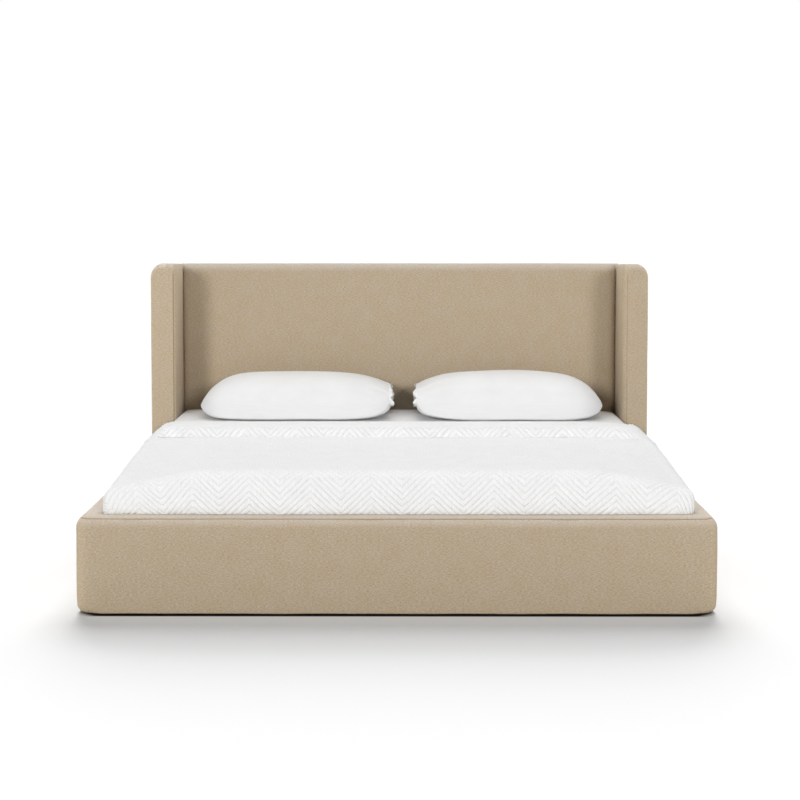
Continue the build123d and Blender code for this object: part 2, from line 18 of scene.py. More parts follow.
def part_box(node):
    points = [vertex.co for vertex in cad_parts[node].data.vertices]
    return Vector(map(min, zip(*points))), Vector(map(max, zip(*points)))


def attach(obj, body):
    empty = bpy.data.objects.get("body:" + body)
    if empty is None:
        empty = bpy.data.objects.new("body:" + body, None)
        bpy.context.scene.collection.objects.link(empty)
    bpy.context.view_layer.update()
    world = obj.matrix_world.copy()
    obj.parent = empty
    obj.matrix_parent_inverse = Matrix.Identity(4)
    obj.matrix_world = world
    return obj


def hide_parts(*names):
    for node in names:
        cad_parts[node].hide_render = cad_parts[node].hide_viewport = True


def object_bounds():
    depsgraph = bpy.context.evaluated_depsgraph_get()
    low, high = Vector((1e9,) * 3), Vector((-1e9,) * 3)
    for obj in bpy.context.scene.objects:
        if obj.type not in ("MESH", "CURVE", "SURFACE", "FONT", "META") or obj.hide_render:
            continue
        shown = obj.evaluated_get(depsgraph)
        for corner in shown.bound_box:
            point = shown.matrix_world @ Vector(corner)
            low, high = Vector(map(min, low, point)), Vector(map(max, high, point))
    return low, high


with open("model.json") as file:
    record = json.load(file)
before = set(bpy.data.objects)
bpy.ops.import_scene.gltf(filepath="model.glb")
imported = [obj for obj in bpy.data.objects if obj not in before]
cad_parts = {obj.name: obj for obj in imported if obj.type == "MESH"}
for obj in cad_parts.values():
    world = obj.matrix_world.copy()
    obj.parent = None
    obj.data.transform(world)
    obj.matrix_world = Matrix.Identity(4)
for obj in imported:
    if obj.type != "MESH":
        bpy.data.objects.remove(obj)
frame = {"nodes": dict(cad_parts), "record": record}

cad_low, cad_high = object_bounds()
scene = bpy.context.scene
scene.view_settings.view_transform = "Standard"
print("bed", [round(v, 3) for v in cad_high - cad_low], "metres with", len(frame["nodes"]), "solids")

# %% [markdown]
# ## Camera
#
# The photograph was taken from beyond the foot, level, with a long lens. Lines that run from foot to head
# meet at one point of the picture, and that point is the camera's own height and side. A level camera would
# need a large lens shift to put the bed in the middle, so part of the shift is a small downward tilt, too
# small to make the uprights lean.

# %% Camera
image_px = 800
focal_px = 1844.5
meeting_px = (408.5, 214.1)
camera_side = 0.040
camera_height = 1.341
camera_distance = 6.084
camera_tilt = radians(3.5)

camera = bpy.data.objects.new("camera", bpy.data.cameras.new("camera"))
camera.data.lens = camera.data.sensor_width * focal_px / image_px
camera.data.shift_y = (meeting_px[1] + focal_px * tan(camera_tilt)) / image_px - 0.5
camera.location = (camera_side, cad_low.y - camera_distance, camera_height)
camera_turn = atan((meeting_px[0] - image_px / 2) / focal_px)
camera.rotation_euler = (pi / 2 - camera_tilt, 0, camera_turn)
scene.collection.objects.link(camera)
scene.camera = camera
print("lens", round(camera.data.lens, 1), "mm, shift", round(camera.data.shift_y, 3))

# %% [markdown]
# ## Shader arithmetic
#
# A finish is a small graph of nodes. Wiring it by hand is long, so one class wraps a socket: sums of
# sockets and numbers add Math nodes by themselves, and any other node is asked for by its type, its
# settings and its inputs.


# %% Shader arithmetic
class Socket:
    """A socket of a node tree that can be used in sums."""

    def __init__(self, tree, output=None):
        self.tree = tree
        self.output = output

    def node(self, kind, settings=None, inputs=None, out=0):
        made = self.tree.nodes.new("ShaderNode" + kind)
        for name, value in (settings or {}).items():
            setattr(made, name, value)
        for key, value in (inputs or {}).items():
            if isinstance(value, Socket):
                self.tree.links.new(value.output, made.inputs[key])
            else:
                made.inputs[key].default_value = value
        return Socket(self.tree, made.outputs[out] if len(made.outputs) else None)

    def math(self, operation, *others):
        """A Math node with this value first."""
        return self.node("Math", {"operation": operation}, dict(enumerate((self, *others))))

    def __add__(self, other):
        return self.math("ADD", other)

    def __sub__(self, other):
        return self.math("SUBTRACT", other)

    def __rsub__(self, other):
        return self * -1 + other

    def __mul__(self, other):
        return self.math("MULTIPLY", other)

    __radd__ = __add__
    __rmul__ = __mul__

    def along(self, axis):
        return self.node("SeparateXYZ", inputs={"Vector": self}, out=axis)

    def colours(self, low, high):
        """This value as a share between two colours, each of them three numbers or a socket."""
        low, high = [c if isinstance(c, Socket) else (*c, 1) for c in (low, high)]
        return self.node("Mix", {"data_type": "RGBA"}, {0: self, 6: low, 7: high}, out=2)

    def grain(self, factors, detail=2.0):
        """Noise read at this place, with its features as long as one over the factors."""
        stretched = self.node("VectorMath", {"operation": "MULTIPLY"}, {0: self, 1: factors})
        return self.node("TexNoise", None, {"Vector": stretched, "Scale": 1.0, "Detail": detail})


def blank(owner):
    """Empties the nodes of a material or a world, and gives a socket to start from."""
    owner.use_nodes = True
    owner.node_tree.nodes.clear()
    return Socket(owner.node_tree)


def finish(name, paint):
    """A material whose Principled shader gets the inputs that paint works out."""
    material = bpy.data.materials.new(name)
    start = blank(material)
    surface = start.node("BsdfPrincipled", inputs=paint(start))
    start.node("OutputMaterial", inputs={"Surface": surface})
    return material


def bump(height, depth, strength=1.0):
    return height.node("Bump", inputs={"Height": height, "Distance": depth, "Strength": strength})


# %% [markdown]
# ## Floor
#
# The bed stands on white paper that runs on into a white wall. The paper is pale grey by its own colour and
# is lifted to white mostly for the camera, so it keeps the bed's shadow and doesn't flood the bed with
# light from below. Under the rails it isn't lifted, so a dark line is painted there as the shade of the
# gap; the painted shade fades where the corners turn away.

# %% Floor
paper_grey = 0.55
paper_lift = 0.38
paper_bounce = 0.25
sky_strength = 0.03
floor_size = 120
gap_shade_width = 0.095
outer_fade, inner_fade = 150, 50
corner_share, corner_start = 0.14, 0.0045


def camera_share(start):
    """1 for rays that show the background, also in metal or through glass, and 0 for those that light."""
    seen = start.node("LightPath", out="Is Camera Ray")
    mirrored = start.node("LightPath", out="Is Glossy Ray")
    through = start.node("LightPath", out="Is Transmission Ray")
    return seen.math("MAXIMUM", mirrored.math("MAXIMUM", through))


paper = bpy.data.materials.new("white_paper")
start = blank(paper)
place = start.node("TexCoord", out="Object")
sheet_colour = place.grain((180, 180, 180)).colours((paper_grey * 0.99,) * 3, (paper_grey * 1.01,) * 3)
matt = start.node("BsdfDiffuse", inputs={"Color": sheet_colour})
# Painted shade: in a band under the rails the glow is taken away, so the floor there renders dark as the
# gap's shade.
from_side = cad_high.x - place.along("X").math("ABSOLUTE")
from_end = cad_high.y - place.along("Y").math("ABSOLUTE")
past_corner = (from_side + from_end) * corner_share - corner_start
inside = from_side.math("MINIMUM", from_end).math("MINIMUM", past_corner)
under = (inside * outer_fade).math("MINIMUM", (gap_shade_width - inside) * inner_fade)
lift = camera_share(start) * (paper_lift - paper_bounce) + paper_bounce
glow = start.node("Emission", inputs={"Color": under.colours((1, 1, 1), (0, 0, 0)), "Strength": lift})
start.node("OutputMaterial", inputs={"Surface": start.node("AddShader", None, {0: matt, 1: glow})})

bm = bmesh.new()
bmesh.ops.create_grid(bm, x_segments=1, y_segments=1, size=floor_size / 2)
floor_mesh = bpy.data.meshes.new("floor")
bm.to_mesh(floor_mesh)
bm.free()
floor_mesh.materials.append(paper)
floor = bpy.data.objects.new("floor", floor_mesh)
scene.collection.objects.link(floor)

world = bpy.data.worlds.new("white_room")
start = blank(world)
brightness = camera_share(start) * (1 - sky_strength) + sky_strength
backdrop = start.node("Background", inputs={"Color": (1, 1, 1, 1), "Strength": brightness})
start.node("OutputWorld", inputs={"Surface": backdrop})
scene.world = world
print("floor", floor_size, "metres wide")

# %% [markdown]
# ## Light
#
# Two soft lamps stand in front, the left one stronger, and a broad one hangs above; they don't light the
# floor. The others light only what they are linked to: two from behind draw the long soft shadow on the
# floor, one from above gives the padding its pale rims, and one from each side does so for the rails and
# the wings.

# %% Light
group_names = ("floor_only", "not_floor", "upholstered", "rails_and_wings")
floor_only, not_floor, upholstered, rails_and_wings = [bpy.data.collections.new(name) for name in group_names]
floor_only.objects.link(floor)
not_floor.objects.link(floor)
not_floor.collection_objects[0].light_linking.link_state = "EXCLUDE"
white, cool, warm = (1, 1, 1), (0.62, 0.87, 1.5), (1.0, 0.92, 0.80)


def lamp(name, lit, azimuth, elevation, strength, width, colour=white):
    """A far soft lamp for a group: a wall facing it renders as strength. Azimuth 0 is the foot, 90 right."""
    data = bpy.data.lights.new(name, "SUN")
    data.energy = strength * pi
    data.angle = radians(width)
    data.color = colour
    holder = bpy.data.objects.new(name, data)
    holder.rotation_euler = (radians(90 - elevation), 0, radians(azimuth))
    holder.light_linking.receiver_collection = lit
    scene.collection.objects.link(holder)


lamp("left_softbox", not_floor, -25, 13, 0.43, 14)
lamp("right_softbox", not_floor, 24, 13, 0.30, 14)
lamp("overhead_softbox", not_floor, 180, 68, 0.79, 70)
lamp("high_floor_lamp", floor_only, 180, 50, 0.80, 36)
lamp("low_floor_lamp", floor_only, 180, 24, 1.36, 36)
lamp("top_rim_lamp", upholstered, 180, 84, 0.52, 30, cool)
lamp("left_rim_lamp", rails_and_wings, -98, 16, 0.36, 40, warm)
lamp("right_rim_lamp", rails_and_wings, 98, 16, 0.32, 40, warm)

# %% [markdown]
# ## Upholstery weave
# The covers are a heathered linen-look weave: threads of several beiges, with slubs, that read as fine
# horizontal flecks from a few metres. A picture of cloth could be used, but it would have one scale and
# repeat. Here the threads are sine waves along the cloth's own coordinates in metres, and stretched noise
# makes the slubs, so the weave stays sharp close up. A little sheen lightens it where it turns away, as
# brushed fabric does. The wings have copies of the finish with painted light: the left one's colour is
# paler and the right one's a little darker, for the light that falls more strongly on the left wing. The
# wings have finishes of their own, because nap that is cut another way looks paler
# or darker.

# %% Upholstery weave
thread_pitch = 0.0018
weave_tan = (0.450, 0.361, 0.245)
weave_grey = (0.460, 0.377, 0.277)
sides = {-1: "left", 1: "right"}
# Painted light: the left wing's weave is made paler and the right one's a little darker, for the light that
# falls on them.
wing_painted_light = {-1: 1.07, 1: 0.99}
painted_seam_shade = (0.16, 0.12, 0.08)


def threads(start, pitch):
    """The cloth's place and the height of a plain weave of that pitch, from 0 to 1."""
    place = start.node("UVMap", {"uv_map": "weave"})
    across = (place.along("X") * (pi / pitch)).math("SINE")
    along = (place.along("Y") * (pi / pitch)).math("SINE")
    return place, across * along * 0.5 + 0.5


def beige_weave(painted_light):
    """The weave's finish, with its colours scaled by a factor that paints in light above 1 and shade below 1.
    """

    def paint(start):
        place, over = threads(start, thread_pitch)
        weft = place.grain((110, 430, 1))
        warp = place.grain((430, 160, 1))
        cloud = place.grain((16, 16, 16), 3.0)
        tone = weft * 1.3 + warp * 1.0 + over * 0.15 - 0.73
        yarn = (cloud * 2.2 - 0.6).colours(weave_tan, weave_grey)
        shade = tone.colours((0.66 * painted_light,) * 3, (1.34 * painted_light,) * 3)
        multiply = {"data_type": "RGBA", "blend_type": "MULTIPLY"}
        cloth = yarn.node("Mix", multiply, {0: 1.0, 6: yarn, 7: shade}, out=2)
        # Painted shade: along the drawn-in seams the colour is darkened towards a dark brown, as the groove's
        # shade.
        seam = start.node("Attribute", {"attribute_name": "seam"}, out="Fac")
        return {
            "Base Color": (seam * 0.7).colours(cloth, painted_seam_shade),
            "Roughness": 0.86,
            "Specular IOR Level": 0.05,
            "Sheen Weight": 0.06,
            "Sheen Roughness": 0.3,
            "Sheen Tint": (1.0, 0.97, 0.93, 1),
            "Normal": bump(over * 0.6 + weft * 0.8 + warp * 0.5, 0.0006, 0.6),
        }

    return paint


upholstery = finish("beige_weave", beige_weave(1.0))
wing_upholstery = {
    side: finish(f"beige_weave_{name}_wing", beige_weave(wing_painted_light[side])) for side, name in sides.items()
}
print("upholstery weave with threads", thread_pitch * 1000, "mm apart")

# %% [markdown]
# ## Tools for padded covers
#
# A padded cover starts as a box of the cover's size. Its edges are bevelled to the radii that foam takes
# under fabric, and it is sliced into a grid so that it has points to move. A subdivided box would have
# points too, but not just where a seam needs them.


# %% Boxes, roundings and slices
def block(low, high):
    """A box between two corners."""
    bm = bmesh.new()
    bmesh.ops.create_cube(bm, size=1)
    bmesh.ops.scale(bm, vec=Vector(high) - Vector(low), verts=bm.verts)
    bmesh.ops.translate(bm, vec=(Vector(high) + Vector(low)) / 2, verts=bm.verts)
    return bm


def near(value, target):
    return abs(value - target) < 1e-5


def clamp(value):
    return min(max(value, 0), 1)


def runs(edge, axis):
    """True where an edge goes along that axis."""
    a, b = (v.co[axis] for v in edge.verts)
    return abs(a - b) > 0.05


def edges_at(bm, **places):
    """The edges that lie at those places: with y=0, the ones whose two ends are at y 0."""

    def there(v):
        return all(near(getattr(v.co, axis), place) for axis, place in places.items())

    return [e for e in bm.edges if all(there(v) for v in e.verts)]


def round_over(bm, edges, radius, steps=6):
    bmesh.ops.bevel(
        bm,
        geom=edges,
        offset=radius,
        affect="EDGES",
        segments=steps,
        profile=0.5,
        material=-1,
        clamp_overlap=True,
    )


def slices(bm, axis, places):
    """Cuts the mesh across an axis at each place, so that it has points to move there."""
    direction = Vector([float(axis == i) for i in range(3)])
    for place in places:
        everything = bm.verts[:] + bm.edges[:] + bm.faces[:]
        bmesh.ops.bisect_plane(bm, geom=everything, plane_co=direction * place, plane_no=direction, dist=1e-6)


def spread(low, high, step):
    """Places from low to high, evenly spaced and about a step apart, without the ends."""
    count = max(1, round((high - low) / step))
    return [low + (high - low) * i / count for i in range(1, count)]


# %% [markdown]
# Then the cover is softened: pushed out a little where nothing holds it. A seam is a pair of slices with
# the line between them drawn in. Both move points along their normals, and every move is worked out before
# the first one is made, so that no point is moved by its neighbour's new place.


# %% Softening and seams
def ripple(x, y, z):
    """Smooth noise at a place, from -1 to 1, with waves about 1 long."""
    return noise.noise(Vector((x, y, z)))


def push(bm, amount):
    """Moves every point along its normal by amount(point)."""
    bm.normal_update()
    moves = [v.normal * amount(v) for v in bm.verts]
    for v, move in zip(bm.verts, moves):
        v.co += move


def soften(bm, amount, size, seed):
    """Pushes a cover out and in by noise of that size, as stuffing does."""
    push(bm, lambda v: noise.noise(v.co / size + Vector((seed, 0, 0))) * amount)


def draw_in(bm, depth, profile):
    """Draws a seam in: profile(point), kept as "seam", is 1 on the stitches and falls to 0 beside them; the
    beige weave reads "seam" to paint shade into the groove.
    """
    seam = bm.verts.layers.float.get("seam") or bm.verts.layers.float.new("seam")
    for v in bm.verts:
        v[seam] = profile(v.co)
    push(bm, lambda v: -depth * v[seam])


# %% [markdown]
# The threads follow the cloth, so each piece gets cloth coordinates in metres, from its own place or from
# the flat cloth that it was laid from. A finished piece is put on the body that carries it and stands for
# the plain solids of its cover and its foam.


# %% Finishing a piece
def lay_weave(bm):
    """Gives the cover its cloth coordinates, in metres, running on from the front over the top."""
    bm.normal_update()
    weave = bm.loops.layers.uv.new("weave")
    for face in bm.faces:
        sideways = abs(face.normal.x) > max(abs(face.normal.y), abs(face.normal.z))
        turn = -1 if face.normal.y > 0.5 else 1
        for loop in face.loops:
            p = loop.vert.co
            loop[weave].uv = (p.y, p.z) if sideways else (p.x, p.z + turn * p.y)


def weave_from(bm, cloth):
    """Takes the cloth coordinates from the places that a mesh's points had on the flat cloth."""
    weave = bm.loops.layers.uv.new("weave")
    for face in bm.faces:
        for loop in face.loops:
            loop[weave].uv = loop.vert[cloth][:2]


def piece(name, bm, material, body, slot, replaced=(), sharp=50):
    """Makes the object, smooth but for its sharp edges, and puts it on its body."""
    mesh = bpy.data.meshes.new(name)
    bmesh.ops.recalc_face_normals(bm, faces=bm.faces)
    bm.to_mesh(mesh)
    bm.free()
    mesh.shade_smooth()
    mesh.set_sharp_from_angle(angle=radians(sharp))
    mesh.materials.append(material)
    made = bpy.data.objects.new(name, mesh)
    scene.collection.objects.link(made)
    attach(made, body)
    if replaced:
        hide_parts(*replaced)
    if slot == "upholstery":
        upholstered.objects.link(made)
        if "headboard" not in name:
            rails_and_wings.objects.link(made)
    print(name, len(mesh.polygons), "faces")
    return made


def padded_cover(name, bm, material, side=0):
    """A padded cover, which stands for the solids of its cover and its foam; the left one of a pair is turned
    over.
    """
    if side < 0:
        bmesh.ops.scale(bm, vec=(-1, 1, 1), verts=bm.verts)
    end = f"_{sides[side]}" if side else ""
    lay_weave(bm)
    nodes = [f"{name}_cover{end}", f"{name}_foam{end}"]
    piece(name + end, bm, material, "frame", "upholstery", nodes)


# %% [markdown]
# ## Rails
#
# The rails are boards with thick foam under the fabric: the foot rail turns the corners, and the side rails
# run from it to the wings. Their tops are crowned, and a seam goes round them just under the top edge, on
# the rounding, and wanders a little as sewn seams on foam do. Below the mattress the fabric stops at a lip
# and the bare board shows inside.

# %% Rails
rail_low, rail_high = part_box("foot_rail_cover")
side_low, side_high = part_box("side_rail_cover_right")
slats_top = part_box("slat_01")[1].z
top_radius = 0.030
foot_radius = 0.022
corner_radius = 0.050
lip_radius = 0.012
lip_height = slats_top + 0.003
lip_step = 0.004
seam_height = rail_high.z - 0.0040
seam_half = 0.0009
seam_depth = 0.0026
rail_crown = 0.009
crown_outside = 0.036
crown_inside = 0.020
grid = 0.030


def seam_line(p):
    """How deep the rail's seam draws in at a point of its outer rounding."""
    wander = 0.0003 * ripple(p.x * 9, p.y * 9, 0)
    return max(0, 1 - abs(p.z - seam_height - wander) / seam_half)


def slice_rail(bm):
    """Slices a rail's height: its face, its lip and its seam."""
    slices(bm, 2, spread(rail_low.z + foot_radius, rail_high.z - top_radius, grid))
    slices(bm, 2, [lip_height, lip_height - lip_step])
    slices(bm, 2, [seam_height + seam_half * share for share in (-1, -0.45, 0, 0.45, 1)])


def quarter_wave(share):
    return sin(pi / 2 * clamp(share))


def crown_rail(bm):
    """Raises the padding of a rail's top: gently from its outer edge, and down again at the mattress."""
    for v in bm.verts:
        outside = min(rail_high.x - abs(v.co.x), v.co.y - rail_low.y)
        inside = max(abs(v.co.x) - side_low.x, rail_high.y - v.co.y)
        upper = clamp((v.co.z - rail_high.z + top_radius) / top_radius)
        arch = quarter_wave(outside / crown_outside) * quarter_wave(inside / crown_inside)
        v.co.z += rail_crown * upper * arch


# %% [markdown]
# The foot rail's lower edge is pulled tight over the board along the front, and rounder at the two corners,
# where the fabric is gathered and drawn in. One bevel makes one radius, so it is bevelled for the corners,
# and the straight part is then shrunk towards the edge.

# %% Foot rail
foot_edge = 0.008
edge_fade = 0.04
foot_tuck = 0.011
tuck_height, tuck_width = 0.052, 0.06


def rim(bm, height):
    """The edges of the foot rail's top or foot, without the one along its inner side."""
    inner = edges_at(bm, y=rail_high.y)
    return [e for e in edges_at(bm, z=height) if e not in inner]


def shape_foot(bm):
    """Tightens the lower front edge and draws the two lower corners in."""
    for v in bm.verts:
        back, rise = v.co.y - rail_low.y, v.co.z - rail_low.z
        if max(back, rise) < foot_radius + 1e-4:
            straight = clamp((rail_high.x - abs(v.co.x) - corner_radius) / edge_fade)
            tighter = 1 - straight * (1 - foot_edge / foot_radius)
            v.co.y, v.co.z = rail_low.y + back * tighter, rail_low.z + rise * tighter
        low, fore = max(0, 1 - rise / tuck_height), 1 - back / (rail_high.y - rail_low.y)
        end = max(0, (abs(v.co.x) - rail_high.x) / tuck_width + 1)
        v.co.x -= copysign(foot_tuck * low**2 * fore * end, v.co.x)


bm = block(rail_low, rail_high)
front_edges = edges_at(bm, y=rail_low.y)
round_over(bm, [e for e in front_edges if runs(e, 2)], corner_radius, 8)
round_over(bm, rim(bm, rail_high.z), top_radius, 8)
round_over(bm, rim(bm, rail_low.z), foot_radius, 6)
inner_top = edges_at(bm, y=rail_high.y, z=rail_high.z)
round_over(bm, inner_top, lip_radius, 4)
slices(bm, 0, spread(rail_low.x, rail_high.x, grid))
slices(bm, 1, spread(rail_low.y + top_radius, rail_high.y - lip_radius, 0.010))
slice_rail(bm)
shape_foot(bm)
soften(bm, 0.0012, 0.16, 1)
draw_in(bm, seam_depth, lambda p: seam_line(p) * (p.y < rail_high.y - 0.03))
for v in bm.verts:
    if v.co.y > rail_high.y - lip_step and v.co.z < lip_height - lip_step / 2 and abs(v.co.x) < side_low.x:
        v.co.y = rail_high.y - lip_step
crown_rail(bm)
padded_cover("foot_rail", bm, upholstery)

# %% [markdown]
# The two side rails are mirror images, so one is made twice and turned over for the left. Each one ends in
# a small turned-in edge, so that it looks like a cover of its own where it meets the foot rail and the
# wing.

# %% Side rails
end_radius = 0.004
middle = (side_low + side_high) / 2

for side in sides:
    bm = block(side_low, side_high)
    for height, radius, steps in ((side_high.z, top_radius, 8), (side_low.z, foot_radius, 6)):
        round_over(bm, edges_at(bm, x=side_high.x, z=height), radius, steps)
    inner_top = edges_at(bm, x=side_low.x, z=side_high.z)
    round_over(bm, inner_top, lip_radius, 4)
    slices(bm, 1, spread(side_low.y, side_high.y, grid) + [side_low.y + end_radius, side_high.y - end_radius])
    slices(bm, 0, spread(side_low.x + lip_radius, side_high.x - top_radius, 0.010))
    slice_rail(bm)
    soften(bm, 0.0012, 0.16, 2 + side)
    draw_in(bm, seam_depth, lambda p: seam_line(p) * (p.x > side_low.x + 0.03))
    for v in bm.verts:
        if v.co.x < side_low.x + lip_step and v.co.z < lip_height - lip_step / 2:
            v.co.x = side_low.x + lip_step
        v.co.y = min(max(v.co.y, side_low.y), side_high.y)
        if near(v.co.y, side_low.y) or near(v.co.y, side_high.y):
            inward = Vector((middle.x - v.co.x, 0, middle.z - v.co.z))
            v.co += inward.normalized() * end_radius * 0.7
    crown_rail(bm)
    padded_cover("side_rail", bm, upholstery, side)

# %% [markdown]
# ## Wings
#
# Each wing is a padded slab. Its outer front edge is pulled tight over timber and is nearly sharp, its
# inner one is softer, and its top rolls over. One bevel makes one radius, so the rim is bevelled once and
# then reshaped: the outer edge's rounding is drawn towards the corner line, and the top is pushed back to a
# fuller curve. The two wings were sewn by hand and aren't quite alike, so some of their sizes are kept for
# each side.

# %% Wing shape
wing_low, wing_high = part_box("wing_cover_right")
wing_outer_top = 0.052
wing_inner_top = 0.018
wing_inner_roll = 0.070
wing_rim = 0.014
wing_outer_edge = 0.006
wing_top_front = 0.030
wing_inner_edge = {-1: 0.014, 1: 0.028}
wing_crown = {-1: 0.0080, 1: 0.0050}
wing_fall = {-1: 0.003, 1: 0.006}


def rolled(drop, radius):
    """How far back a rolled edge of that radius stands at a drop below its top."""
    if drop >= radius:
        return 0
    return radius - sqrt(radius**2 - (radius - max(drop, 0)) ** 2)


def shape_wing_front(bm, side):
    """Draws the outer rim in to a tight edge and pushes the top back to a fuller roll."""
    for v in bm.verts:
        back = v.co.y - wing_low.y
        out = wing_high.x - v.co.x
        drop = wing_high.z - v.co.z
        straight = clamp((drop - 0.035) / 0.03)
        if back < wing_rim + 1e-4 and out < wing_rim + 1e-4:
            shrink = 1 - straight * (1 - wing_outer_edge / wing_rim)
            v.co.x = wing_high.x - out * shrink
            v.co.y = wing_low.y + back * shrink
        fade = max(0, 1 - back / 0.07)
        v.co.y += max(0, rolled(drop, wing_top_front) - rolled(drop, wing_rim)) * fade
        inside = v.co.x - wing_low.x
        v.co.y += max(0, rolled(inside, wing_inner_edge[side]) - rolled(inside, wing_rim)) * fade
        long_roll = rolled(drop, wing_inner_roll) * wing_inner_top / wing_inner_roll
        fade = max(0, 1 - inside / 0.06)
        v.co.x += max(0, long_roll - rolled(drop, wing_inner_top)) * fade
        share = back / (wing_high.y - wing_low.y)
        upper = max(0, 1 - drop / wing_outer_top)
        v.co.z += upper * (wing_crown[side] * (1 - share) - wing_fall[side] * share**2)


# %% [markdown]
# A seam runs up the front of each wing, beside the inner edge, and ends under the top's roll. The left one
# is drawn in deeper, with darker painted shade in its groove. Behind, the wings stop short of the thin panel
# that closes the back.

# %% Wings
wing_seam_x = {-1: wing_low.x + 0.010, 1: wing_low.x + 0.019}
wing_seam_half = 0.003
wing_seam_depth = 0.0028
wing_seam_share = {-1: 1.0, 1: 0.45}
back_panel = 0.003


def wing_seam(p, side):
    """How deep the wing's seam draws in: up the front, on the inner rounding."""
    if p.z < rail_high.z or p.y > wing_low.y + 0.04:
        return 0
    fade = clamp((wing_high.z - 0.020 - p.z) / 0.03)
    return wing_seam_share[side] * fade * max(0, 1 - abs(p.x - wing_seam_x[side]) / wing_seam_half)


for side in sides:
    bm = block(wing_low, (wing_high.x, wing_high.y - back_panel, wing_high.z))
    for place, radius, steps in ((wing_low.x, wing_inner_top, 5), (wing_high.x, wing_outer_top, 10)):
        round_over(bm, edges_at(bm, z=wing_high.z, x=place), radius, steps)
    below = edges_at(bm, z=wing_low.z)
    round_over(bm, [e for e in edges_at(bm, y=wing_low.y) if e not in below], wing_rim, 6)
    slices(bm, 2, spread(wing_low.z, wing_high.z - wing_outer_top, grid))
    slices(bm, 2, [wing_high.z - 0.001 * drop for drop in (2, 4, 7, 10, 14, 18, 23, 29, 36, 44, 53, 62, 70)])
    slices(bm, 1, spread(wing_low.y + wing_rim, wing_high.y, grid))
    seam_places = [wing_seam_x[side] + wing_seam_half * share for share in (-1, -0.4, 0, 0.4, 1)]
    front_places = spread(wing_low.x + 0.029, wing_high.x - wing_rim, grid)
    slices(bm, 0, seam_places + [wing_low.x + 0.025] + front_places)
    shape_wing_front(bm, side)
    soften(bm, 0.0010, 0.14, 5 + side)
    draw_in(bm, wing_seam_depth, lambda p: wing_seam(p, side))
    padded_cover("wing", bm, wing_upholstery[side], side)

# %% [markdown]
# ## Headboard
#
# The headboard's front is one plain padded panel between the wings, rolled over at the top. Its ends are
# tucked behind the wings' inner faces, deeper on the right, so only a fold shows in the corners. The back
# is closed by a thin fabric panel that is stretched over the frame.

# %% Headboard
board_low, board_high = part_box("headboard_cover")
panel_low, panel_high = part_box("headboard_back_cover")
panel_high.z -= wing_fall[1]
headboard_top = 0.038
panel_end = {-1: 0.034, 1: 0.046}
panel_depth = {-1: 0.5, 1: 0.8}
crown = 0.004

bm = block(board_low, (board_high.x, board_high.y - back_panel, board_high.z))
front_top = edges_at(bm, y=board_low.y, z=board_high.z)
round_over(bm, front_top, headboard_top, 9)
slices(bm, 0, spread(board_low.x, board_high.x, 0.04))
for side in sides:
    for share in (0, 0.04, 0.14, 0.3, 0.5, 0.75, 1):
        slices(bm, 0, [side * (wing_low.x - panel_end[side] * share)])
slices(bm, 2, spread(board_low.z, board_high.z - headboard_top, 0.04))
soften(bm, 0.0012, 0.22, 9)
for v in bm.verts:
    if v.co.y < board_low.y + 0.06:
        side = 1 if v.co.x > 0 else -1
        v.co.y += rolled(wing_low.x - abs(v.co.x), panel_end[side]) * panel_depth[side]
    if v.co.z > board_high.z - headboard_top:
        v.co.z -= 0.0006 + 0.001 * abs(v.co.x / wing_low.x) ** 8
    if v.co.y < board_low.y + 0.01:
        across_share = 1 - (v.co.x / board_high.x) ** 4
        up_share = (v.co.z - board_low.z) / (board_high.z - board_low.z)
        v.co.y -= crown * across_share * (1 - (2 * up_share - 1) ** 4)
padded_cover("headboard", bm, upholstery)

bm = block((panel_low.x, panel_high.y - back_panel, panel_low.z), panel_high)
upright = edges_at(bm, z=panel_high.z)
corners = [e for e in upright if not runs(e, 0)]
round_over(bm, corners, wing_outer_top - 0.002, 10)
rear = edges_at(bm, y=panel_high.y)
round_over(bm, rear, back_panel * 0.8, 3)
slices(bm, 0, spread(panel_low.x, panel_high.x, 0.05))
slices(bm, 2, spread(panel_low.z, panel_high.z, 0.05))
for v in bm.verts:
    if near(v.co.y, panel_high.y):
        v.co.y -= 0.0012 * (0.5 + 0.5 * noise.noise(v.co * 7))
lay_weave(bm)
back = piece("headboard_back", bm, upholstery, "frame", "upholstery", ["headboard_back_cover"])

# %% [markdown]
# ## White cottons
#
# The sheet and the pillow cases are smooth percale, the coverlet a softer stitched cotton. White cloth is
# never one white: the weave, its bump and a slow drift of tone keep it from looking like plaster. Along the
# stitches the quilted cotton is pressed, and its colour is darker: partly the stitching itself, partly
# painted shade in the grooves.

# %% White cottons
percale_pitch = 0.0009
ticking_pitch = 0.0016
stripe_pitch = 0.045


def percale(start):
    place, over = threads(start, percale_pitch)
    drift = place.grain((9, 9, 9), 3.0)
    slub = place.grain((90, 700, 1))
    tone = drift * 0.6 + slub * 0.3 + over * 0.1
    return {
        "Base Color": tone.colours((0.77,) * 3, (0.91,) * 3),
        "Roughness": 0.8,
        "Specular IOR Level": 0.1,
        "Sheen Weight": 0.03,
        "Normal": bump(over * 0.5 + slub, 0.0003, 0.5),
    }


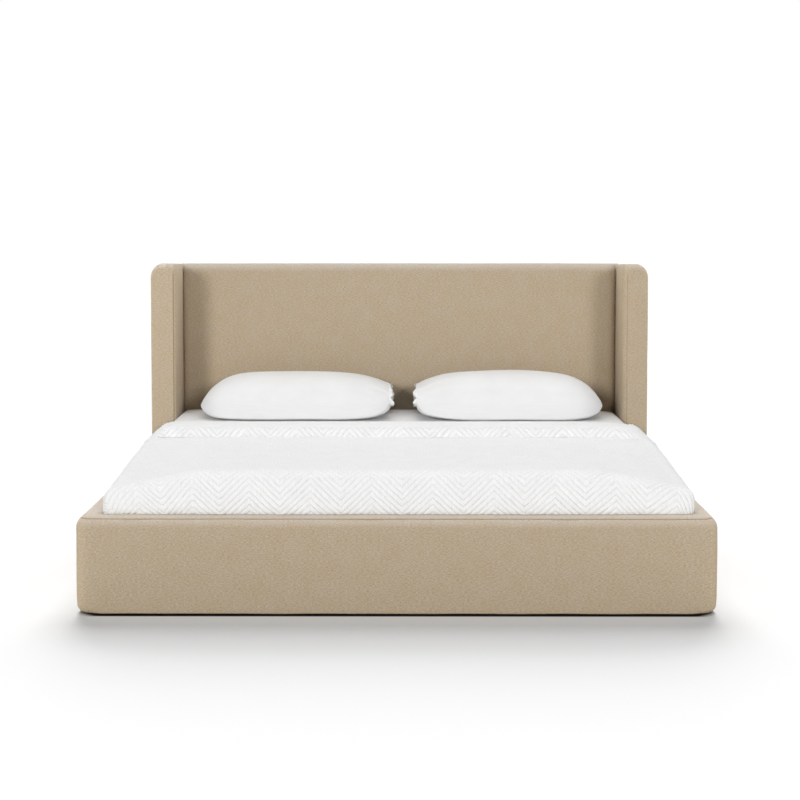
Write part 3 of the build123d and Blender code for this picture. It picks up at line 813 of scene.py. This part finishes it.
def quilted_cotton(start):
    place, over = threads(start, percale_pitch * 1.3)
    drift = place.grain((11, 11, 11), 3.0)
    fluff = place.grain((220, 150, 1)) * 0.6 + place.grain((190, 24, 1)) * 0.5
    dashes = place.grain((130, 130, 1))
    # Darker along the stitches: partly the stitching, partly painted shade in the grooves between the puffs.
    stitch = start.node("Attribute", {"attribute_name": "stitch"}, out="Fac")
    tone = drift * 0.3 + fluff * 1.7 + over * 0.1 - 0.65
    pale = tone.colours((0.80,) * 3, (0.96,) * 3)
    sunk = stitch * (dashes * 1.5 + 0.05)
    return {
        "Base Color": sunk.colours(pale, (0.58, 0.58, 0.59)),
        "Roughness": 0.9,
        "Specular IOR Level": 0.1,
        "Sheen Weight": 0.03,
        "Normal": bump(over * 0.4 + fluff, 0.0005, 0.5),
    }


def ticking(start):
    place, over = threads(start, ticking_pitch)
    band = (place.along("X") * (2 * pi / stripe_pitch)).math("SINE").math("GREATER_THAN", 0.72)
    tone = place.grain((60, 60, 1)) * 0.5 + band * 0.45
    return {
        "Base Color": tone.colours((0.86, 0.85, 0.82), (0.70,) * 3),
        "Roughness": 0.85,
        "Normal": bump(over, 0.0003, 0.5),
    }


pillow_cotton = finish("white_percale", percale)
coverlet_cotton = finish("quilted_cotton", quilted_cotton)
mattress_ticking = finish("striped_ticking", ticking)
print("cottons ready")

# %% [markdown]
# ## Shape of the made bed
#
# Before any cloth is made, one rule says where it will lie. The top is flat, but it sags towards the two
# foot corners, where such a cloth is pulled down, and lies a little lower along the right side, where the
# bed is worn. Past its edge the cloth rolls over by a quarter of an ellipse, then drops to the rail.

# %% Shape of the made bed
bed_low, bed_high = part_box("mattress")
sheet_low, sheet_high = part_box("fitted_sheet")
fold_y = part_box("coverlet")[1].y
coverlet_shift = 0.008
coverlet_half = side_low.x + 0.020
coverlet_foot = rail_high.y - 0.026
coverlet_top = sheet_high.z + 0.0085
side_roll = 0.060
foot_roll = 0.075
side_fall = 0.055
foot_fall = 0.034
corner_plan = 0.012
corner_power = 8
rail_rest = rail_high.z + rail_crown - 0.005
flat_half = coverlet_half - side_roll
flat_foot = coverlet_foot + foot_roll
corner_sag = 0.068
sag_from_y, sag_length = -0.15, 0.90
sag_from_x, sag_width = 0.62, 0.36
slump = 0.011
slump_from_x, slump_width = 0.72, 0.26
slump_from_y, slump_length = -0.9, 0.6


def past_edge(u, v):
    """Where a point of the cloth leaves the flat top, the way it goes, and how far past that edge it is."""
    corner_x = flat_half - corner_plan
    corner_y = flat_foot + corner_plan
    over_x = max(abs(u) - corner_x, 0) * (1 if u > 0 else -1)
    over_y = min(v - corner_y, 0)
    far = hypot(over_x, over_y)
    if far <= corner_plan:
        return u, v, 0, 0, 0
    out_x = over_x / far
    out_y = over_y / far
    edge_x = u - over_x + out_x * corner_plan
    edge_y = v - over_y + out_y * corner_plan
    return edge_x, edge_y, out_x, out_y, far - corner_plan


def slumped(x, y):
    """How much lower the bed lies along its right side, where it is worn; this fades towards the foot."""
    to_right = clamp((x - slump_from_x) / slump_width)
    return slump * to_right**1.5 * clamp((y - slump_from_y) / slump_length)


def top_height(x, y):
    """The height of the cloth's top, which sags towards the foot corners."""
    towards_foot = clamp((sag_from_y - y) / sag_length)
    to_side = clamp((abs(x) - sag_from_x) / sag_width)
    return coverlet_top - corner_sag * towards_foot * to_side**1.5 - slumped(x, y)


def roll(out_x, out_y):
    """How far out and down the roll goes in a direction: squarish in plan, so that the corners stay crisp."""
    total = abs(out_x / side_roll) ** corner_power + abs(out_y / foot_roll) ** corner_power
    return total ** (-1 / corner_power), side_fall * out_x**2 + foot_fall * out_y**2


print("the coverlet falls", round(coverlet_top - rail_rest, 3), "m to the rails")

# %% [markdown]
# A point of the cloth keeps its distance past the edge and goes that far along this path: over the roll,
# down the drop and round the tuck. An ellipse has no short formula for its length, so the roll is walked in
# small steps. At the right foot corner the drop leans in.

# %% Laying cloth on the bed
roll_step = pi / 48
drop_bulge = 0.002
tuck_bend = 0.003
hem_tuck = 0.014
tuck_length = tuck_bend * pi / 2 + hem_tuck
corner_lean, lean_length = 0.014, 0.22


def walk(past, reach, fall):
    """The ellipse's turn after a length of cloth, walked in short steps, and the length left at its end."""
    turn = 0
    while past > 0 and turn < pi / 2:
        speed = hypot(reach * cos(turn), fall * sin(turn))
        step = min(past / speed, roll_step, pi / 2 - turn + 1e-9)
        turn += step
        past -= step * speed
    return min(turn, pi / 2), max(past, 0)


def straight_drop(x, y, fall):
    """How far the cloth falls straight down below the roll that starts at a place of the edge."""
    return max(top_height(x, y) - fall - rail_rest - tuck_bend, 0.002)


def tuck_of(u, v):
    """How much of the cloth is tucked in at a point."""
    x, y, out_x, out_y, past = past_edge(u, v)
    if past == 0:
        return 0
    reach, fall = roll(out_x, out_y)
    return walk(past, reach, fall)[1] - straight_drop(x, y, fall)


def hem_distance(out_x, out_y):
    """The length of cloth from the edge of the top to the hem, where the top doesn't sag."""
    reach, fall = roll(out_x, out_y)
    return 1 - walk(1, reach, fall)[1] + straight_drop(0, 0, fall) + tuck_length


def on_bed(u, v, rise):
    """Where on the made bed the cloth's point (u, v) comes to lie, raised by rise off the surface."""
    x, y, out_x, out_y, past = past_edge(u, v)
    if past == 0:
        return Vector((x + coverlet_shift, y, top_height(x, y) + rise))
    reach, fall = roll(out_x, out_y)
    turn, past = walk(past, reach, fall)
    steep = hypot(fall * sin(turn), reach * cos(turn))
    out = reach * sin(turn) + rise * fall * sin(turn) / steep
    height = top_height(x, y) - fall * (1 - cos(turn)) + rise * reach * cos(turn) / steep
    drop = straight_drop(x, y, fall)
    fallen = min(past, drop)
    out += drop_bulge * sin(pi * fallen / drop)
    near_corner = clamp((flat_foot + lean_length - y) / lean_length) if out_x > 0 else 0
    sunk = (fall * (1 - cos(turn)) + fallen) / (fall + drop)
    out -= corner_lean * near_corner * out_x**2 * sunk**2
    tucked = min(past - fallen, tuck_length)
    turn = min(tucked / tuck_bend, pi / 2)
    out -= tuck_bend * (1 - cos(turn)) + max(0, tucked - tuck_bend * pi / 2)
    height -= fallen + tuck_bend * sin(turn)
    return Vector((x + out_x * out + coverlet_shift, y + out_y * out, height))


# %% [markdown]
# What lies under the cloth, the sheet and the mattress, is pressed down by the same rule. There the length
# of cloth isn't known, only the place on the bed, so the ellipse is read by its reach instead.


# %% Under the cloth
def cover_height(x, y):
    """The height of the cloth over a place on the bed, for what has to stay under it."""
    edge_x, edge_y, out_x, out_y, out = past_edge(x - coverlet_shift, y)
    if out == 0:
        return top_height(edge_x, edge_y)
    reach, fall = roll(out_x, out_y)
    return top_height(edge_x, edge_y) - fall * (1 - cos(asin(min(out / reach, 1))))


def press_under(bm, gap):
    """Lets a mesh slump with the bed and keeps it that gap below the coverlet, from its fold to the foot."""
    for v in bm.verts:
        v.co.z -= slumped(v.co.x, v.co.y) * clamp((v.co.z - sheet_high.z) / 0.1 + 1)
        if v.co.y < fold_y:
            v.co.z = min(v.co.z, max(cover_height(v.co.x, v.co.y) - gap, rail_rest))


side_hem = hem_distance(1, 0)
foot_hem = hem_distance(0, 1)
print("cloth past the top's edge", round(side_hem, 3), "m at the sides,", round(foot_hem, 3), "m at the foot")

# %% [markdown]
# ## Mattress and fitted sheet
#
# Under the bedding is a real mattress: striped ticking, with piped edges top and bottom, which shows when
# it is lifted out. The fitted sheet is stretched over it, and shows between the coverlet and the headboard.

# %% Mattress and fitted sheet
mattress_corner = 0.060
mattress_edge = 0.030
pipe_half = 0.006


def soft_box(low, high, corner, edge, step):
    """A box with rounded uprights and rims, sliced into a grid."""
    bm = block(low, high)
    round_over(bm, [e for e in bm.edges if runs(e, 2)], corner, 8)
    for height in (low.z, high.z):
        round_over(bm, edges_at(bm, z=height), edge, 6)
    slices(bm, 0, spread(low.x + corner, high.x - corner, step))
    slices(bm, 1, spread(low.y + corner, high.y - corner, step))
    return bm


bm = soft_box(bed_low, bed_high, mattress_corner, mattress_edge, 0.06)
pipes = (bed_low.z + mattress_edge, bed_high.z - mattress_edge)
for height in pipes:
    slices(bm, 2, [height + pipe_half * share for share in (-1, -0.6, 0, 0.6, 1)])


def piping(p):
    gap = min(abs(p.z - height) for height in pipes) / pipe_half
    return sqrt(max(0, 1 - gap**2))


draw_in(bm, -0.0045, piping)
for v in bm.verts:
    v.co.x = min(max(v.co.x, bed_low.x), bed_high.x)
press_under(bm, 0.008)
lay_weave(bm)
mattress = piece("mattress_core", bm, mattress_ticking, "made_mattress", "mattress_ticking", ["mattress"])

sheet_edge = mattress_edge + 0.0015
bm = soft_box(Vector((*sheet_low.xy, bed_low.z)), sheet_high, mattress_corner, sheet_edge, 0.03)
everything = bm.verts[:] + bm.edges[:] + bm.faces[:]
lower_edge, down = (0, 0, sheet_low.z), (0, 0, -1)
bmesh.ops.bisect_plane(bm, geom=everything, plane_co=lower_edge, plane_no=down, clear_outer=True)
push(bm, lambda v: 0.0006 + 0.0006 * ripple(v.co.x * 5, v.co.y * 14, 3))
press_under(bm, 0.005)
lay_weave(bm)
fitted = piece("bed_sheet", bm, pillow_cotton, "made_mattress", "sheet_cotton", ["fitted_sheet"])

# %% [markdown]
# ## Quilted coverlet
#
# The coverlet is one quilted cloth: it lies on the bed, rolls down to the rails, tucks in, and its head end
# is folded back as a band. Its quilting is rows of chevrons, puffed between the stitch lines, pressed
# nearly flat on the top and full where the cloth turns.

# %% Chevron quilting
chevron_width = 0.2056
chevron_peak = 0.1140
chevron_rise = 0.0496
ridge_pitch = 0.0226
row_shift = 0.0050
ridge_height = 0.0050
corner_drift = 0.033
drift_from, drift_width, drift_length = 0.55, 0.32, 0.14


def zigzag(u, v):
    """1 on a chevron's peaks and -1 in its valleys, which drift inwards down the left foot corner."""
    near_corner = max(0, (-u - drift_from) / drift_width) ** 1.2
    downwards = min(max((flat_foot - v) / drift_length, 0), 1.2)
    turn = ((u - chevron_peak - corner_drift * near_corner * downwards) / chevron_width) % 1.0
    return abs(4 * turn - 2) - 1


def puff(u, v, phase):
    """The quilting's height over its stitches, uneven as sewn wadding is."""
    full = abs(sin(pi * phase)) ** 0.62
    uneven = 1 + 0.35 * ripple(u * 26, v * 26, 4)
    return ridge_height * uneven * full


def slow_wave(u, v):
    return 0.0022 * ripple(u * 2.6, v * 2.6, 1) + 0.0012 * ripple(u * 7, v * 7, 2)


# %% [markdown]
# Pushing a plain grid up and down would cut across the slanted rows, so the grid itself is sheared into
# zigzags: each row of points runs along a chevron, five to a ridge, and one of the five lies in the
# stitches. The sheared cloth is then laid over the bed by the rule above.

# %% Quilted coverlet
ridge_rows = (0.0, 0.13, 0.37, 0.63, 0.87)
column_step = chevron_width / 20
row_wander = 0.16
pressed_flat = 0.20
full_after = 0.20


def quilt(rows_from, rows_to, lay, trim, fullness):
    """A sheared grid from one ridge to another, laid by lay(u, v, puffed); trim drops what is past a hem."""
    ridges = rows_to - rows_from
    rows = ridges * len(ridge_rows)
    columns = 2 * (int((flat_half + side_hem) / column_step) + 2)
    half = columns / 2 * column_step
    bm = bmesh.new()
    bmesh.ops.create_grid(bm, x_segments=columns, y_segments=rows, size=1)
    cloth = bm.verts.layers.float_vector.new("cloth")
    stitch = bm.verts.layers.float.new("stitch")
    for p in bm.verts:
        u = p.co.x * half + chevron_peak % column_step
        number = round((p.co.y + 1) / 2 * rows)
        phase = ridge_rows[number % len(ridge_rows)]
        wander = row_wander * ripple(u * 38, number * 0.45, 6) * ridge_pitch
        level = (rows_from + number // len(ridge_rows) + phase) * ridge_pitch + row_shift
        v = level + chevron_rise * zigzag(u, level) + wander
        full = fullness(u, v)
        p[cloth] = (u, v, 0)
        # The stitch share darkens the cotton's colour: the stitching, and painted shade in the groove.
        p[stitch] = full * max(0, 1 - min(phase, 1 - phase) / 0.13)
        p.co = lay(u, v, full * puff(u, v, phase))
    lost = [f for f in bm.faces if all(trim(*p[cloth][:2]) for p in f.verts)]
    bmesh.ops.delete(bm, geom=lost, context="FACES")
    weave_from(bm, cloth)
    return bm


def lay_cover(u, v, puffed):
    return on_bed(u, v, puffed + slow_wave(u, v))


def past_hem(u, v):
    return tuck_of(u, v) > tuck_length


def cover_fullness(u, v):
    """The quilting's share of its full height: pressed on the flat top, full on the roll's steep part."""
    return pressed_flat + (1 - pressed_flat) * min(past_edge(u, v)[4] / full_after, 1) ** 1.1


foot_row = int((flat_foot - foot_hem - chevron_rise) / ridge_pitch) - 2
fold_row = int((fold_y - chevron_rise) / ridge_pitch) - 1
bm = quilt(foot_row, fold_row, lay_cover, past_hem, cover_fullness)
coverlet = piece(
    "coverlet_quilt", bm, coverlet_cotton, "made_mattress", "coverlet_cotton", ["coverlet"], sharp=180
)
cover_flat = (2 * (flat_half + side_hem), fold_y - flat_foot + foot_hem)

# %% [markdown]
# The folded band is the same cloth, so it is made by the same sheared grid. Its rows run on from the fold:
# a short stretch under the fold, half a turn, and back over the bed. Towards its free edge it thickens and
# rolls down in a fat soft lip, where the ridges look like the strands of a rope.

# %% Folded band
under_length = 0.13
fold_radius = 0.0035
fold_lift = 0.001
band_flat = 0.460
lip_thickness = 0.037
lip_depth = 0.020
side_thickness = 0.003
lip_fullness = 0.6
lip_fade = {-1: 0.04, 1: 0.07}
turn_length = pi * fold_radius
lip_length = pi / 2 * sqrt((lip_thickness**2 + lip_depth**2) / 2)
lip_start = under_length + turn_length + band_flat
band_total = lip_start + lip_length
bend_back_y = fold_y - fold_radius


def beside_top(u):
    """0 on the band's top and 1 on its sides; the lip thins out on the way."""
    inside = lip_fade[1 if u > 0 else -1]
    share = clamp((abs(u) - flat_half + inside) / (inside + 0.03))
    return share * share * (3 - 2 * share)


def lay_band(u, v, puffed):
    """Lays the band: v runs from the hidden stretch, round the fold and back towards the foot."""
    length = min(v, band_total)
    if length < under_length:
        return on_bed(u, bend_back_y - under_length + length, fold_lift)
    turn = (length - under_length) / fold_radius
    if turn < pi:
        y = bend_back_y + (fold_radius + puffed) * sin(turn)
        return on_bed(u, y, fold_radius + fold_lift - (fold_radius + puffed) * cos(turn))
    back = length - under_length - turn_length
    on_side = beside_top(u)
    thick = lip_thickness + (side_thickness - lip_thickness) * on_side
    folded = (2 * fold_radius + fold_lift) * (1 - on_side) + side_thickness * on_side
    if back < band_flat:
        swell = (thick - folded) * (back / band_flat) ** 2
        return on_bed(u, bend_back_y - back, folded + swell + puffed + slow_wave(u, bend_back_y - back))
    turn = (back - band_flat) / lip_length * pi / 2
    steep = hypot(thick * sin(turn), lip_depth * cos(turn))
    y = bend_back_y - band_flat - lip_depth * sin(turn) - puffed * thick * sin(turn) / steep
    rise = thick * cos(turn) + puffed * lip_depth * cos(turn) / steep
    return on_bed(u, y, rise + slow_wave(u, y) * cos(turn))


def past_band(u, v):
    return v > band_total or past_edge(u, 0)[4] > side_hem


def band_fullness(u, v):
    """Pressed on the band's top, full on the roll of its lip and on the sides."""
    on_lip = clamp((v - lip_start + 0.02) / (0.5 * lip_length))
    on_side = min(past_edge(u, 0)[4] / side_roll, 1)
    return pressed_flat + (lip_fullness - pressed_flat) * max(on_lip, on_side)


band_rows = int((band_total + chevron_rise) / ridge_pitch) + 3
bm = quilt(-3, band_rows, lay_band, past_band, band_fullness)
cloth = bm.verts.layers.float_vector["cloth"]
early = [f for f in bm.faces if all(p[cloth][1] < 0 for p in f.verts)]
bmesh.ops.delete(bm, geom=early, context="FACES")
band = piece("coverlet_band", bm, coverlet_cotton, "made_mattress", "coverlet_cotton", (), sharp=180)

# %% [markdown]
# ## Pillows
#
# Two plump pillows lie against the headboard in plain cases, their open ends towards each other. A pillow
# could be blown up from two flat squares, but its outline would be hard to steer. Here a tube of rings is
# drawn out to the outline that the pillow has from the front: a round nose at the sewn end, a long flat
# crown, and a blunt open end. Each ring is an oval with a flattened underside.

# %% Pillows
ring_points = 144
ring_count = 110
sewn_height = 0.054
nose = 0.10
open_low = 0.046
open_high = 0.1275
forward = 0.010
case_hem = 0.014
pillow_base = sheet_high.z + 0.0015


def outline(t, height, slope):
    """The top and underside of the pillow above the sheet, from its sewn end at -1 to its open end at 1."""
    if t < 0:
        share = (1 - t**6) ** 0.94 * (1 - slope * t**2) + nose * t**8 * sqrt(1 - t**80)
        lower = (1 - t**6) ** 0.40
        return sewn_height + (height - sewn_height) * share, sewn_height * (1 - lower)
    share = 1 - t**3.8
    lower = (1 - t**4) ** 0.5
    return open_high + (height - open_high) * share, open_low * (1 - lower)


def oval(angle, power):
    """A point of a squarish oval of half width and height 1."""
    c, s = cos(angle), sin(angle)
    return (abs(c) ** (2 / power) * (1 if c > 0 else -1), abs(s) ** (2 / power) * (1 if s > 0 else -1))


def pillow_tube(low, high, open_side, height, slope, inset):
    """A tube of rings in a pillow's outline that fills a box, its half length and the middle of its depth."""
    middle_x = (low.x + high.x) / 2 + open_side * (inset - case_hem) / 2
    middle_y = (low.y + high.y) / 2 - forward
    half_length = (high.x - low.x - inset - case_hem) / 2
    half_depth = (high.y - low.y) / 2 + forward
    bm = bmesh.new()
    bmesh.ops.create_cone(bm, segments=ring_points, radius1=1, radius2=1, depth=2, cap_ends=False)
    slices(bm, 2, [-cos(pi * i / ring_count) for i in range(1, ring_count)])
    cloth = bm.verts.layers.float_vector.new("cloth")
    for p in bm.verts:
        t = min(max(p.co.z, -1), 1)
        angle = atan2(p.co.y, p.co.x)
        top, under = outline(t, height, slope)
        waist = under + (top - under) * 0.42
        wide, tall = oval(angle, 2.5 if sin(angle) > 0 else 2.5 + 11 * (1 - t**6))
        depth = half_depth * (1 - (0.5 if t < 0 else 0.16) * abs(t) ** 8)
        z = waist + tall * (top - waist if tall > 0 else waist - under)
        p[cloth] = (t * half_length, angle * 0.3 * half_depth * 2, 0)
        p.co = (middle_x + open_side * t * half_length, middle_y + wide * depth, pillow_base + z)
    bmesh.ops.remove_doubles(bm, verts=bm.verts, dist=1e-5)
    return bm, cloth, half_length, middle_y


# %% [markdown]
# Soft dents lie all over a pillow, and small folds run out from both of its ends, closer and deeper towards
# the hem. They are noise that is stretched along the pillow.


# %% Pillow folds
def wrinkle(bm, cloth, half_length, open_side, seed):
    """Dents the case softly and folds it near its hem and its nose."""

    def wrinkles(p):
        x, y, z = p.co
        t = p[cloth][0] / half_length
        near_hem = max(0, (t - 0.1) / 0.9) ** 1.7
        near_nose = max(0, (-t - 0.6) / 0.4) ** 2
        dents = 0.004 * ripple(x * 4, y * 4, seed)
        folds = 0.0060 * near_hem * ripple(x * 5 * open_side, y * 26, z * 26 + seed)
        folds += 0.0024 * near_hem**1.5 * ripple(x * 9, y * 60, z * 60 + seed)
        creases = 0.0028 * near_nose * ripple(x * 7, y * 22, z * 22 - seed)
        return dents + folds + creases

    push(bm, wrinkles)
    for p in bm.verts:
        p.co.z = max(p.co.z, pillow_base)


# %% [markdown]
# The open end runs out to a hem. Its edge is extruded twice: once outwards, ruffled and notched into two
# lobes, as the two layers of a case hang apart, and once back in, so that the hem has an inside. The rest
# of the hole is filled.

# %% Pillow hems
notch = 0.64
hem_middle = sheet_high.z + 0.085


def run_out(bm):
    """Extrudes the open edge and gives its new points."""
    made = bmesh.ops.extrude_edge_only(bm, edges=[e for e in bm.edges if e.is_boundary])["geom"]
    return [g for g in made if isinstance(g, bmesh.types.BMVert)]


def add_hem(bm, middle_y, open_side, seed):
    """Runs the open end out to a ruffled hem, turns it in and closes it."""
    for p in run_out(bm):
        ruffle = ripple(p.co.y * 22, p.co.z * 40, seed)
        outward = Vector((0, p.co.y - middle_y, p.co.z - hem_middle)).normalized()
        up_share = clamp((p.co.z - sheet_high.z - open_low) / (open_high - open_low))
        lobe = up_share / notch if up_share < notch else 1 + (up_share - notch) / (1 - notch)
        p.co.x += open_side * case_hem * (0.25 + 0.85 * sqrt(abs(sin(pi * lobe))) + 0.4 * ruffle)
        p.co += outward * 0.0045 * ruffle
    for p in run_out(bm):
        p.co.x -= open_side * case_hem * 1.3
        p.co.y += (middle_y - p.co.y) * 0.05
        p.co.z += (hem_middle - p.co.z) * 0.16
    bmesh.ops.holes_fill(bm, edges=[e for e in bm.edges if e.is_boundary])


def pillow(name, node, body, open_side, height, slope, inset, seed):
    """A pillow in the place of its solid, with its open end towards open_side along X."""
    bm, cloth, half_length, middle_y = pillow_tube(*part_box(node), open_side, height, slope, inset)
    wrinkle(bm, cloth, half_length, open_side, seed)
    add_hem(bm, middle_y, open_side, seed)
    weave_from(bm, cloth)
    made = piece(name, bm, pillow_cotton, body, "pillow_cotton", [node])


pillow("pillow_in_case_left", "pillow_left", "left_pillow", 1, 0.184, 0.05, 0.009, 11)
pillow("pillow_in_case_right", "pillow_right", "right_pillow", -1, 0.190, 0.14, 0.027, 23)

# %% [markdown]
# ## Timber, steel and plastic
#
# What holds the bed up is plain and hidden, but it shows when the mattress is lifted or from below: pine
# boards, pale sprung slats, zinc-plated plates and bolts, black powder-coated legs and black plastic feet.
# Wood has rings and fibres stretched along its grain; the others have fine grit and a little wear.


# %% Timber, steel and plastic
def timber(axis, dark, light):
    """Sawn wood with its grain along an axis."""

    def paint(start):
        place = start.node("TexCoord", out="Object")
        long_way = [1.2 if i == axis else 34.0 for i in range(3)]
        fibre_way = [9.0 if i == axis else 420.0 for i in range(3)]
        rings = place.grain(long_way, 3.0)
        bands = (rings * 46).math("SINE") * 0.5 + 0.5
        fibre = place.grain(fibre_way)
        tone = bands * 0.45 + fibre * 0.55
        return {
            "Base Color": tone.colours(dark, light),
            "Roughness": fibre * 0.2 + 0.55,
            "Normal": bump(fibre * 0.7 + bands * 0.3, 0.0005, 0.4),
        }

    return paint


def timbers(name, dark, light):
    """A finish for each of the three axes that the grain can run along."""
    return [finish(f"{name}_along_{'xyz'[axis]}", timber(axis, dark, light)) for axis in range(3)]


def hard(fine, broad, dark, light, rough, depth, strength, metal=False):
    """Steel, paint or plastic: fine grit for its bump, and wear, or the zinc's spangle, for its colour."""

    def paint(start):
        place = start.node("TexCoord", out="Object")
        grit = place.grain((fine,) * 3)
        wear = place.grain(broad, 2.0 if metal else 3.0)
        return {
            "Base Color": (grit if metal else wear).colours(dark, light),
            "Metallic": float(metal),
            "Roughness": wear * rough[0] + rough[1],
            "Normal": bump(grit, depth, strength),
        }

    return paint


# %% [markdown]
# These solids are already the right shape, so they only get their finishes. The grain runs along each
# board's longest side.

# %% Finishes of the frame
zinc = hard(160, (30,) * 3, (0.50, 0.51, 0.53), (0.72, 0.73, 0.74), (0.25, 0.25), 0.0002, 0.2, metal=True)
powder_coat = hard(900, (25,) * 3, (0.014, 0.014, 0.015), (0.034, 0.034, 0.036), (0.2, 0.38), 0.0003, 0.4)
moulded_plastic = hard(1300, (60, 60, 20), (0.018,) * 3, (0.045,) * 3, (0.25, 0.45), 0.0002, 0.4)
pine = timbers("pine", (0.50, 0.34, 0.19), (0.74, 0.56, 0.36))
birch = timbers("slat_wood", (0.62, 0.47, 0.30), (0.82, 0.68, 0.49))
others = {
    "zinc_steel": finish("zinc_plate", zinc),
    "black_steel": finish("powder_coat", powder_coat),
    "black_plastic": finish("moulded_plastic", moulded_plastic),
}
for part in frame["record"]["subparts"]:
    node = frame["nodes"][part["node"]]
    if node.hide_render:
        continue
    low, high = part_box(part["node"])
    size = list(high - low)
    grain_axis = size.index(max(size))
    choices = {"timber": pine[grain_axis], "slat_wood": birch[grain_axis], **others}
    node.data.materials.clear()
    node.data.materials.append(choices[part["material_slot"]])
print("finished", sum(not node.hide_render for node in frame["nodes"].values()), "solids of the frame")
